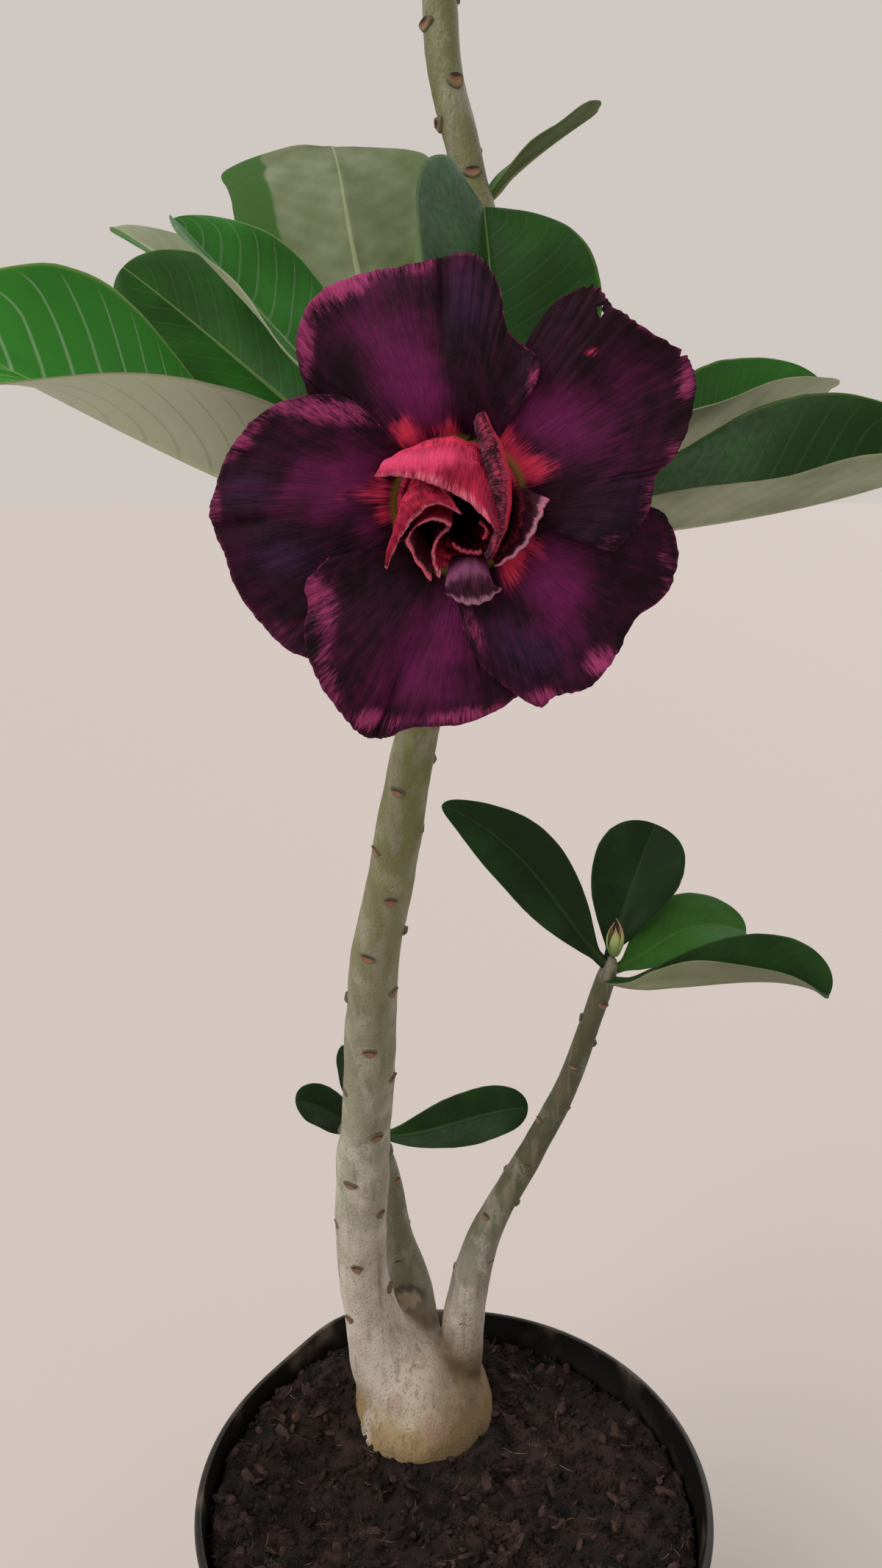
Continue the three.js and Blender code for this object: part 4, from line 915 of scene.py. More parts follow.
def grid_faces(rows, columns, first=0, turned=False):
    faces = []
    for r in range(rows - 1):
        for c in range(columns - 1):
            a = first + r * columns + c
            face = (a, a + 1, a + columns + 1, a + columns)
            faces.append(face[::-1] if turned else face)
    return faces


def shell_faces(rows, columns, first=0):
    """Faces of a closed shell whose upper grid of points is followed by its lower one."""
    size, end = rows * columns, columns - 1
    faces = grid_faces(rows, columns, first) + grid_faces(rows, columns, first + size, True)
    for r in range(rows - 1):
        a, b = first + r * columns, first + (r + 1) * columns
        faces += [(a, b, b + size, a + size), (b + end, a + end, a + end + size, b + end + size)]
    for c in range(end):
        a, b = first + c, first + (rows - 1) * columns + c
        faces += [(a + 1, a, a + size, a + size + 1), (b, b + 1, b + size + 1, b + size)]
    return faces


def leaf_piece(name, leaf, seed):
    route, face, half_width, fold, curl, ripple, tone = leaf
    route = [np.array(p, float) for p in route]
    ear_side, ear = EARS.get(name, (0, 0))
    columns = np.sin(np.linspace(-math.pi / 2, math.pi / 2, LEAF_COLUMNS))
    columns = 0.45 * columns + 0.55 * np.linspace(-1, 1, LEAF_COLUMNS)
    upper, lower, place = [], [], []
    for s in (1 - np.cos(np.linspace(0, math.pi, LEAF_ROWS))) / 2:
        weights = ((1 - s) ** 3, 3 * s * (1 - s) ** 2, 3 * s * s * (1 - s), s**3)
        centre = sum(w * p for w, p in zip(weights, route))
        slope = ((1 - s) ** 2, 2 * s * (1 - s), s * s)
        along = sum(w * (b - a) for w, a, b in zip(slope, route, route[1:]))
        along /= np.linalg.norm(along)
        side = np.cross(along, face)
        side /= np.linalg.norm(side)
        normal = np.cross(side, along)
        u = min(1, max(0, (s - BLADE_FROM) / (1 - BLADE_FROM)))
        blade = half_width * u**0.95 * (1 - u) ** 0.5 / 0.393
        opening = float(eased(s, 0, 0.22))
        stalk = 1.1 * (1 - float(eased(s, 0.04, 0.3)))
        for t in columns:
            sign, k = (-1, 0) if t < 0 else (1, 2)
            wider = sum(
                more * math.exp(-(((s - at) / over) ** 2))
                for which, at, over, more in OUTLINES.get(name, ())
                if which == sign
            )
            half = math.hypot(LEAFSTALK * (1 - u) ** 1.5, blade * (1 + wider))
            rise = math.radians(fold[k] + (fold[k + 1] - fold[k]) * s) * opening
            rise *= float(eased(abs(t), -0.12, 0.16))
            out = side * sign * math.cos(rise) + normal * math.sin(rise)
            lift = -side * sign * math.sin(rise) + normal * math.cos(rise)
            wave = ripple * math.sin(15 * s + 2 * sign) * opening
            wave += 1.1 * ripple * noise.noise(Vector((5 * s, 2.2 * t, seed))) * opening
            run = (s - VEIN_SWEEP * abs(t) ** 1.25) * VEINS_A_SIDE
            pillow = (0.03 * abs(math.sin(math.pi * run)) - 0.015) * opening * min(1, half / 9)
            off_rib = abs(t) * half
            point = centre + out * abs(t) * half * (1 + 0.012 * noise.noise(Vector((22 * s, sign, seed))))
            point = point + lift * (t * t * (curl[k // 2] * half + wave * min(1, half / 6)) + pillow)
            if sign == ear_side:
                point = point + along * ear * t * t * float(eased(s, 0.45, 0.95)) * min(1, half / 9)
            groove = 0.35 * math.exp(-((off_rib / 0.9) ** 2)) * (1 - s)
            thick = BLADE_HALF * math.sqrt(max(0.0, 1 - abs(t) ** 8)) * math.sqrt(max(0.02, 1 - s**30))
            rib = 1.25 * math.exp(-((off_rib / (1.5 - 0.8 * s)) ** 2)) * (1 - 0.8 * s) * opening
            round_stalk = stalk * (1 - t * t)
            upper.append(point + lift * (thick - groove + 0.4 * round_stalk))
            lower.append(point - lift * (thick + rib + round_stalk))
            place.append((t, s, off_rib))
    points = route[0] + (np.array(upper + lower) - route[0]) * LEAF_FIT
    faces = shell_faces(LEAF_ROWS, LEAF_COLUMNS)
    above = (LEAF_ROWS - 1) * (LEAF_COLUMNS - 1)
    chosen = [0] * above + [1] * (len(faces) - above)
    if name == TWISTED:
        chosen = [1 - k for k in chosen]
    right, left = TURNED.get(name, (-2, 2))
    across, along, _ = np.array(place + place, float).T
    taper = 0.45 * eased(along, 0.9, 0.99)
    shaded = name.startswith(SHADED)
    finishes = [painted_shade_top, painted_shade_under] if shaded else [leaf_top, leaf_under]
    piece = shape("blade_" + name, points, faces, finishes, chosen)
    mark(piece, "leaf_place", place + place)
    mark(piece, "leaf_light_and_shade", [tone[0]] * len(upper) + [tone[1]] * len(lower))
    mark(piece, "leaf_turned", np.where(across > 0, across - left - taper, right - taper - across))
    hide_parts("leaf_" + name)
    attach(piece, "root")


for seed, (name, leaf) in enumerate(LEAVES.items()):
    leaf_piece(name, leaf, seed * 3.7)

# ---- Growing tip of the right-hand stem ----
# A tight bud of young leaves, yellow-green below and pink at the top, on the end of the slim stem.
# Five thin bracts wrap round each other, each a golden angle on from the last and a little shorter.

bud_low, bud_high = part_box("shoot_bud")
BUD_X, BUD_Y = (bud_low.x + bud_high.x) / 2 / MM, (bud_low.y + bud_high.y) / 2 / MM
BUD_Z, BUD_TALL = bud_low.z / MM, (bud_high.z - bud_low.z) / MM
BUD_ROWS, BUD_COLUMNS, BRACTS, BRACT_THICK = 14, 9, 5, 0.35

bud_finish, tree = new_finish("young_bud", Roughness=0.45, Coat_Weight=0.15)
skin = grain(tree, 1200, 220)
climb = plus(ramp(axes(own_place(tree))["Z"], bud_low.z, bud_high.z), times(minus(skin["Broad"], 0.5), 0.3))
tone = mix(ramp(climb, 0.0, 0.5), "#6c8542", "#a2b06c")
paint(coats(tone, (ramp(climb, 0.45, 0.9), "#bd7a6e")), None, skin["Height"], 0.0002, 0.4)

points, faces = [], []
for k in range(BRACTS):
    faces += shell_faces(BUD_ROWS, BUD_COLUMNS, len(points))
    for inset in (0, BRACT_THICK):
        for s in (r / (BUD_ROWS - 1) for r in range(BUD_ROWS)):
            belly = (2.75 - 0.28 * k) * math.sin(math.pi * min(0.999, 0.12 + 0.86 * s)) ** 0.8
            radius = max(0.05, belly - inset)
            for c in range(BUD_COLUMNS):
                a = k * GOLDEN_ANGLE + (1.15 * (1 - s**2.2) + 0.03) * (c / (BUD_COLUMNS - 1) * 2 - 1)
                x, y = BUD_X + radius * math.cos(a), BUD_Y + radius * math.sin(a)
                points.append((x, y, BUD_Z + BUD_TALL * (1 - 0.1 * k) * s))
bud = shape("bud_bracts", points, faces, [bud_finish])
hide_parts("shoot_bud")
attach(bud, "root")

# ---- Bloom: its own frame ----
# The bloom looks straight along -Y of the whole, and every petal is laid out in its own frame: x runs
# right, y up and z out of the throat. All petals are thin sheets of one velvety kind of finish.

BLOOM_X, BLOOM_Y, BLOOM_Z = -0.6, -86, 410.6
BLOOM_REACH = 39
LOBE_ROOT, LOBE_ROOT_DEPTH, LOBE_FLARE = 10.6, 5, 5
LOBE_TILT, LOBE_DROOP, LOBE_RIPPLE = 2.4, 2.4, 0.9
TUBE = [
    (0, 0, -4, 10.8), (0, 0, -6, 10.2), (-0.1, -0.4, -12, 8.6), (-0.2, -1.4, -20, 7.2),
    (-0.3, -3.4, -28, 5.2), (-0.4, -5.4, -35, 3.2), (-0.4, -6.3, -38.5, 2.2),
]
# Outer lobes, each with its throat angles and its rim from the edge under the last lobe to the edge
# over the next. folds are creases: across, depth, width, from, to; sunken ones are painted darker along
# their floor, painted shade. Soft spots of each tint follow: x, y, how wide, how tall, strength and, where
# it has one, a lean in degrees. The magenta tint is painted velvet sheen, and its spots of negative
# strength are painted shade and shadow; the pink tint is the rim's own pink with painted highlight added
# on the upper-left rims.
LOBES = {
    "top": {
        "angles": (155, 60),
        "rim": [
            (-17, 6), (-23, 13.5), (-26, 21), (-26.5, 27), (-23, 33.5), (-17, 36.3), (-8, 37.7), (-1, 39),
            (3, 38.5), (6.2, 33.5), (7.5, 27.5), (12.8, 22.5), (11, 17),
        ],
        "folds": [(0.56, -1.8, 0.016, 0.35, 1.0), (0.78, 1.2, 0.1, 0.4, 1.0), (0.2, 0.7, 0.1, 0.4, 1.0)],
        "painted_sheen": [
            (-9, 22, 6, 11, 0.7, 32), (-5, 16, 4, 6, 0.6, 10), (-1, 22, 3, 8, -0.4), (-22, 20, 4, 5, -0.4),
            (6, 24, 6, 6, -0.4),
        ],
        "glow": [(-9, 11.6, 1.9, 2.6, 1.1, 20), (-1.6, 11.8, 1.6, 2, 0.8), (-5, 11.6, 3, 1.6, 0.3)],
        "pink_and_highlight": [
            (12.4, 20, 1.6, 3, 0.6), (-20, 34.6, 6, 2.6, 1.0, 25), (-25.4, 26, 1.8, 7, 0.6),
            (-9, 37.5, 9, 1.6, 0.45),
        ],
        "violet": [(1, 32, 5, 7, 0.8), (11, 22, 2, 5, 0.6, -30)],
    },
    "right": {
        "angles": (85, -15),
        "rim": [
            (5, 14), (10.5, 25), (16, 32.5), (22, 34.5), (24.5, 31.5), (29.6, 28.2), (37, 24), (38.8, 20.4),
            (37.8, 13), (35, 7.5), (32.5, 5), (31, -1.5), (25.5, -7.5),
        ],
        "folds": [(0.4, 0.9, 0.1, 0.3, 1.0), (0.66, -0.8, 0.05, 0.5, 1.0), (0.9, 1.2, 0.08, 0.3, 1.0)],
        # The last magenta spot, of negative strength, is painted shadow along the lobe's lower margin.
        "painted_sheen": [
            (16, 13, 8, 6, 0.6), (11, 15, 4, 4, 0.5), (26, 12, 6, 8, 0.2, -20), (20, 29, 6, 6, -0.3),
            (18, -3, 10, 5, -0.5, 20),
        ],
        "glow": [
            (9.2, 6.6, 2.8, 3.4, 1.3), (6.6, 12.4, 2.2, 2.6, 1.2), (13.5, 6, 3.4, 2, 0.5),
            (21.3, 24.2, 1.1, 0.7, 0.7, 20),
        ],
        "pink_and_highlight": [
            (37.4, 19, 1.8, 5, 0.8), (35.4, 9, 1.8, 5, 0.45, 20), (31, 0, 1.6, 5, 0.4),
            (25, -6, 3, 1.6, 0.35, 30),
        ],
        "violet": [(28, 2, 5, 8, 0.5, 20), (22, -4, 6, 4, 0.35)],
    },
    "lower_right": {
        "angles": (5, -85),
        "rim": [
            (20, -2), (29, 0), (34, -1), (37.4, -8), (35.5, -15), (30.5, -19), (27.3, -25), (22.5, -30.5),
            (16.5, -32.3), (14.5, -34.2), (9, -31), (3, -25.5), (-0.5, -16.5),
        ],
        "folds": [(0.46, -1.2, 0.03, 0.55, 1.0), (0.6, 1.0, 0.08, 0.4, 1.0), (0.8, 0.9, 0.06, 0.5, 1.0)],
        "painted_sheen": [(15, -11, 5, 6, 0.75, 45), (18, -17, 6, 8, 0.45, 30), (26, -21, 4, 6, -0.3, 20)],
        "glow": [(9.6, -8, 1.6, 3, 1.3, 30), (12.4, -6.4, 1.2, 2.6, 0.9, 50), (8.4, -11, 1.4, 3, 0.7, 10)],
        "pink_and_highlight": [
            (2.4, -20, 1.6, 5, 0.35, 20), (25, -26.5, 3.4, 2.6, 0.9), (15, -32.4, 4, 2, 0.5),
            (35.5, -11, 1.6, 6, 0.35, 10),
        ],
        "violet": [(14, -25, 6, 5, 0.8), (8, -21, 4, 6, 0.5, 20)],
    },
    "bottom": {
        "angles": (-65, -150),
        "rim": [
            (9, -20), (12, -30), (8.5, -34), (1, -37.3), (-8, -38), (-13.5, -40.4), (-17, -39.8),
            (-20.7, -35), (-24.9, -28), (-26.4, -21), (-25.6, -16.5), (-26, -13), (-22, -8.5),
        ],
        "folds": [(0.45, -0.9, 0.03, 0.5, 1.0), (0.3, 0.8, 0.1, 0.4, 1.0), (0.7, 0.8, 0.1, 0.4, 1.0)],
        # The last magenta spot, of negative strength, is painted shadow under the inner petals.
        "painted_sheen": [
            (-5, -25, 6, 11, 0.6, -12), (0, -19, 3, 7, 0.5, 10), (-13, -29, 6, 6, 0.3),
            (-11, -10, 8, 5, -0.6),
        ],
        "pink_and_highlight": [
            (-22.6, -17, 2.4, 5, 0.5), (-22.6, -28, 2, 6, 0.5, 15), (-15, -37, 4, 2.2, 0.9),
            (2, -35.8, 8, 1.5, 0.7, 5), (-25, -14, 1.6, 3, 0.7),
        ],
        "violet": [(-14, -19, 4, 5, 0.35)],
    },
    "left": {
        "angles": (220, 135),
        "rim": [
            (-16, -16), (-23.5, -25.5), (-28.8, -25), (-34.4, -20), (-38.4, -13.5), (-39.8, -8), (-42, -2),
            (-41, 2.5), (-38.3, 8.7), (-33.5, 14), (-27, 17), (-18, 16.8), (-10.5, 9.5),
        ],
        "folds": [(0.475, -1.7, 0.018, 0.45, 1.0), (0.3, 0.9, 0.1, 0.4, 1.0), (0.8, 1.0, 0.08, 0.4, 1.0)],
        "painted_sheen": [
            (-18, 5, 6, 5, 0.75), (-25, 2.4, 6, 5, 0.3), (-15, -4, 3, 3, 0.5), (-30, -4.6, 8, 1.6, -0.5),
            (-24, -13, 8, 5, -0.4, 30),
        ],
        "glow": [(-13.4, 2.6, 2, 2.4, 0.85), (-17.4, 1.8, 3, 1.2, 0.5, 10), (-12.6, -1.8, 1.8, 1.6, 0.6)],
        "pink_and_highlight": [
            (-26, 15.4, 1.8, 8, 0.7, 80), (-35.4, 11, 1.7, 5, 0.5, -45), (-41, 0, 1.3, 6, 0.4),
            (-17.5, 15, 1.6, 4, 0.5, 75), (-30, -21, 4, 3, 0.2),
        ],
        "violet": [(-36, 3, 5, 5, 0.8), (-30, -8.6, 7, 4, 0.9, 10)],
    },
}
PETAL_ROWS, PETAL_COLUMNS = 54, 110
PETAL_THICK = 0.6
# A ground of painted magenta sheen over each lobe past its root, and the rims' own pink.
PAINTED_SHEEN_GROUND, PINK_RIM = 0.22, 0.34
TINTS = ("painted_sheen", "glow", "pink_and_highlight", "violet")


def curve_point(points, t):
    """A point on the centripetal Catmull-Rom curve through the points."""
    spans = len(points) - 1
    i = min(int(t * spans), spans - 1)
    w = t * spans - i
    p1, p2 = points[i], points[i + 1]
    p0 = points[i - 1] if i else 2 * p1 - p2
    p3 = points[i + 2] if i + 2 <= spans else 2 * p2 - p1
    d0, d1, d2 = (max(1e-4, math.sqrt(np.linalg.norm(b - a))) for a, b in ((p0, p1), (p1, p2), (p2, p3)))
    s1 = ((p1 - p0) / d0 - (p2 - p0) / (d0 + d1) + (p2 - p1) / d1) * d1
    s2 = ((p2 - p1) / d1 - (p3 - p1) / (d1 + d2) + (p3 - p2) / d2) * d1
    return p1 + s1 * w + (3 * (p2 - p1) - 2 * s1 - s2) * w * w + (2 * (p1 - p2) + s1 + s2) * w**3


def from_bloom(p):
    """A point of the bloom's frame in the frame of the whole plant."""
    return (BLOOM_X + p[0], BLOOM_Y - p[2], BLOOM_Z + p[1])


def spot_tints(petal, x, y):
    """How much of each tint a point of the bloom gets from a petal's soft spots."""
    tints = []
    for tint in TINTS:
        total = 0.0
        for middle_x, middle_y, wide, tall, strength, *lean in petal.get(tint, ()):
            turn = math.radians(sum(lean))
            dx, dy = x - middle_x, y - middle_y
            across = (dx * math.cos(turn) + dy * math.sin(turn)) / wide
            along = (dy * math.cos(turn) - dx * math.sin(turn)) / tall
            total += strength * math.exp(-(across**2) - along**2)
        tints.append(total)
    return tints


def build_streaks(tree, given):
    """Fine branching streaks that run out along a petal, from its place across and outwards."""
    x, y, z = axes(read(tree, "petal_place", "Vector"))

    def noise_at(many, outwards, detail):
        spread = {"X": times(x, many), "Y": times(y, outwards), "Z": times(z, 7.3)}
        spread = add("ShaderNodeCombineXYZ", spread)
        return add("ShaderNodeTexNoise", {"Vector": spread, "Scale": 1.0, "Detail": detail})

    fine = noise_at(given[0], 6.0, 3.0)
    coarse = noise_at(times(given[0], 0.3), 4.0, 3.0)
    hairs = noise_at(times(given[0], 2.4), 14.0, 2.0)
    return plus(times(fine, 0.6), times(coarse, 0.4)), hairs, noise_at(9.0, 6.0, 5.0), fine


labels = ("Streaks", "Hairs", "Clouds", "Height")
STREAKS = shared_effect("petal_streaks", {"Streaks across": 120.0}, labels, build_streaks)


def petal_finish(name, tones, roughness, streaks=120.0, root=None, hairs=0.42):
    """Velvety petal: dark and deep ground tinted violet and glowing red, with painted magenta sheen, and pink
    at its rim with painted highlight.
    """
    dark, deep, painted_sheen, glow, pink_and_highlight, violet = tones.split()
    material, tree = new_finish(
        name, Sheen_Weight=0.06, Sheen_Roughness=0.45, Sheen_Tint=colour("#b04a86"), Specular_IOR_Level=0.1
    )
    lines = effect(tree, STREAKS, streaks)
    tints = read(tree, "petal_tint", "Color")
    red, green, blue = add("ShaderNodeSeparateColor", {0: tints}).node.outputs
    fine, cloud, hair = (minus(lines[k], 0.5) for k in ("Streaks", "Clouds", "Hairs"))

    def share(amount, low, high, by_streaks=1.0, by_clouds=0.8, by_hairs=0.8):
        """The tint's share, broken up by streaks, clouds and hairs wherever there is any of it."""
        present = ramp(amount, 0.02, 0.35)
        for unevenness, by in ((fine, by_streaks), (cloud, by_clouds), (hair, by_hairs)):
            amount = plus(amount, times(unevenness, by, present))
        return ramp(amount, low, high)

    ground = plus(times(fine, 1.3), times(cloud, 1.6))
    base = coats(
        mix(ramp(ground, -0.3, 0.45), dark, deep),
        (share(tints.node.outputs["Alpha"], 0.05, 1.3), violet),
        # Painted sheen: magenta where the velvet catches the light.
        (share(red, 0.0, 1.3), painted_sheen),
        (ramp(lines["Hairs"], 0.42, 0.64, 0.0, hairs), dark),
        # Pink at the rim, raised along the upper-left rims as painted highlight.
        (share(blue, 0.08, 1.05, 1.5, 0.9, 1.3), pink_and_highlight),
        (share(green, 0.05, 0.8, 1.8, 1.4, 1.4), mix(0.5, painted_sheen, glow, tree)),
        (share(green, 0.5, 1.35, 2.4, 1.8, 1.6), glow),
    )
    if root:
        outwards = axes(read(tree, "petal_place", "Vector"))["Y"]
        base = mix(ramp(outwards, 0.015, 0.06, 0.85, 0.0), base, root)
    relief = plus(lines["Height"], times(grain(tree, 3800, 420)["Fine"], 0.5))
    paint(base, ramp(lines["Streaks"], 0.3, 0.7, roughness, roughness + 0.12), relief, 0.0004, 0.55)
    return material


def petal_sheet(name, surface, tints, columns, rows, finishes, order, thick=PETAL_THICK, hole=None):
    """A thin closed petal from its surface and tints, both by place; the first finish looks outward."""
    spots = [(c / (columns - 1), r / (rows - 1)) for r in range(rows) for c in range(columns)]
    points = [from_bloom(surface(a, b)) for a, b in spots]
    inner = [np.array(points[round(rows * 0.8) * columns + columns // 2 + k]) for k in (0, 1, columns)]
    turned = np.cross(inner[1] - inner[0], inner[2] - inner[0])[1] > 0
    faces = grid_faces(rows, columns, turned=turned)
    if hole:
        x, z, wide, tall = hole
        middles = [np.mean([points[k] for k in f], axis=0) for f in faces]
        faces = [f for f, m in zip(faces, middles) if math.hypot((m[0] - x) / wide, (m[2] - z) / tall) > 1]
    petal = shape(name, points, faces, finishes)
    mark(petal, "petal_place", [(a, b, order) for a, b in spots])
    mark(petal, "petal_tint", [tints(a, b) for a, b in spots])
    wall = petal.modifiers.new("wall", "SOLIDIFY")
    wall.thickness, wall.offset, wall.material_offset, wall.material_offset_rim = thick * MM, 0, 1, 0
    return petal


def tube_faces(rings, sides):
    """Faces of a tube of rings of points, closed at both ends."""
    faces = []
    for a in range(0, (rings - 1) * sides, sides):
        for i in range(sides):
            j = (i + 1) % sides
            faces.append((a + i, a + j, a + sides + j, a + sides + i))
    last = (rings - 1) * sides
    return faces + [tuple(reversed(range(sides))), tuple(range(last, last + sides))]


def cup(name, top, bottom, inset, wall, finishes, order, sides=56, steps=26):
    """A petal tube between two depths, closed at its bottom, a little inside the tube's own outline."""
    stations = np.array(TUBE, float)[::-1]
    turns = np.arange(sides) * 2 * math.pi / sides

    def ring(z, less):
        x, y, radius = (np.interp(z, stations[:, 2], stations[:, k]) for k in (0, 1, 3))
        return [(x + (radius - less) * math.cos(a), y + (radius - less) * math.sin(a), z) for a in turns]

    depths = np.linspace(top, bottom, steps)
    rings = [ring(z, inset) for z in depths[::-1]]
    rings += [ring(max(z, bottom + 1.5), inset + wall) for z in depths]
    chosen = [1] * (steps - 1) * sides + [0] * steps * sides + [1, 0]
    points = [from_bloom(p) for r in rings for p in r]
    tube = shape(name, points, tube_faces(len(rings), sides), finishes, chosen)
    spots = [(i, k) for k in range(len(rings)) for i in range(sides)]
    mark(tube, "petal_place", [(i / sides * 3, 1 - k / len(rings), order) for i, k in spots])
    mark(tube, "petal_tint", [(0.2, 0.7 * (1 - abs(k - steps) / steps), 0, 0) for i, k in spots])
    return tube


# ---- Bloom: outer corolla ----
# Five broad lobes on one tube, each lying over the next. Near-black maroon velvet with painted magenta
# sheen down the middle, red at the throat and a pink, finely torn rim, brighter on the upper left with
# painted highlight. The back is duller.

TORN_LOBE, TORN_FROM, TORN_TO = "right", 0.22, 0.52
TORN_HOLE = (22.0, 441.2, 0.5, 1.2)  # x, z, how wide, how tall
velvet = "#16060f #340e25 #701d55 #e43c58 #a83f74 #33203f"
outer_face = petal_finish("outer_petal_velvet", velvet, 0.5, root="#8f8a3c")
outer_back = petal_finish("outer_petal_back", "#3e1426 #5c2438 #74304c #a8583c #8a3c58 #3c2040", 0.6)
tube_finish = petal_finish("petal_tube", "#7a3040 #a0605a #a8a060 #b8b070 #8a3c48 #7a3040", 0.5)


def crease(fold, a, b):
    """How much of a lobe's crease there is at a place, from 0 to 1."""
    at, _, wide, low, high = fold
    return math.exp(-(((a - at) / wide) ** 2)) * float(eased(b, low, high))


def outer_lobe(name, lobe, order):
    start, end = lobe["angles"]
    rim = [np.array([x, y, 0.0]) for x, y in lobe["rim"]]

    def torn(a):
        fine = 0.012 * noise.noise(Vector((a * 70, order, 0)))
        fine += 0.006 * noise.noise(Vector((a * 190, order, 4)))
        ragged = 0.03 if name == TORN_LOBE and TORN_FROM < a < TORN_TO else 0.0
        return fine + ragged * noise.noise(Vector((a * 90, 2, 9)))

    def surface(a, b):
        angle = math.radians(start + (end - start) * a)
        root = np.array([LOBE_ROOT * math.cos(angle), LOBE_ROOT * math.sin(angle), 0])
        p = root + (curve_point(rim, a) - root) * b * (1 + torn(a) * b**6)
        radius = math.hypot(p[0], p[1])
        far = radius / BLOOM_REACH
        spread = float(eased(radius, LOBE_ROOT, 26))
        p[2] = LOBE_TILT * (2 * a - 1) * spread - LOBE_DROOP * far * far
        p[2] -= LOBE_ROOT_DEPTH * math.exp((LOBE_ROOT - radius) / LOBE_FLARE)
        p[2] += LOBE_RIPPLE * far * far * math.sin(16 * a + start)
        p[2] += sum(fold[1] * crease(fold, a, b) for fold in lobe["folds"])
        p[2] += far * far * 0.9 * noise.noise(Vector((a * 6, b * 2, order * 5)))
        pleats = math.sin(a * 150 + 3 * noise.noise(Vector((a * 9, b * 3, order))))
        p[2] += 0.16 * float(eased(b, 0.3, 0.95)) * pleats
        p[2] += 0.9 * float(eased(b, 0.86, 1.02)) * noise.noise(Vector((a * 13, 1.5, order * 3)))
        return p

    def tints(a, b):
        tints = spot_tints(lobe, *surface(a, b)[:2])
        # A ground of painted magenta sheen past the root.
        tints[0] += PAINTED_SHEEN_GROUND * float(eased(b, 0.05, 0.3))
        tints[2] = max(tints[2], PINK_RIM * float(eased(b, 0.965, 1.0)))
        # Sunken creases: every tint fades along their floor, painted shade.
        for fold in lobe["folds"]:
            if fold[1] < 0:
                tints = [t * (1 - 0.9 * crease(fold, a, b)) for t in tints]
        return tints

    grid, finishes = (PETAL_COLUMNS, PETAL_ROWS), [outer_face, outer_back]
    hole = TORN_HOLE if name == TORN_LOBE else None
    return petal_sheet("lobe_" + name, surface, tints, *grid, finishes, order, hole=hole)


lobes = [outer_lobe(name, lobe, order) for order, (name, lobe) in enumerate(LOBES.items())]
lobes.append(cup("tube_outer", -4.6, -38.5, 0, 0.9, [outer_face, tube_finish], 6))
outer = merged("outer_corolla", lobes)
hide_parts("corolla_outer")
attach(outer, "root")

# ---- Bloom: second and third corollas ----
# Upright folded petals in the throat: a crimson hood above, a tall blade on its right, a pocket with a
# pale rim, a mauve lip below and a red ribbon on the left, and inside them small rolled folds. Each
# corolla stands on a tube of its own inside the outer one.

CUP_WALL = 0.9
NESTED = CUP_WALL + 0.3
SECOND_GRID, THIRD_GRID = (56, 34), (44, 28)
INNER_THICK = 0.5
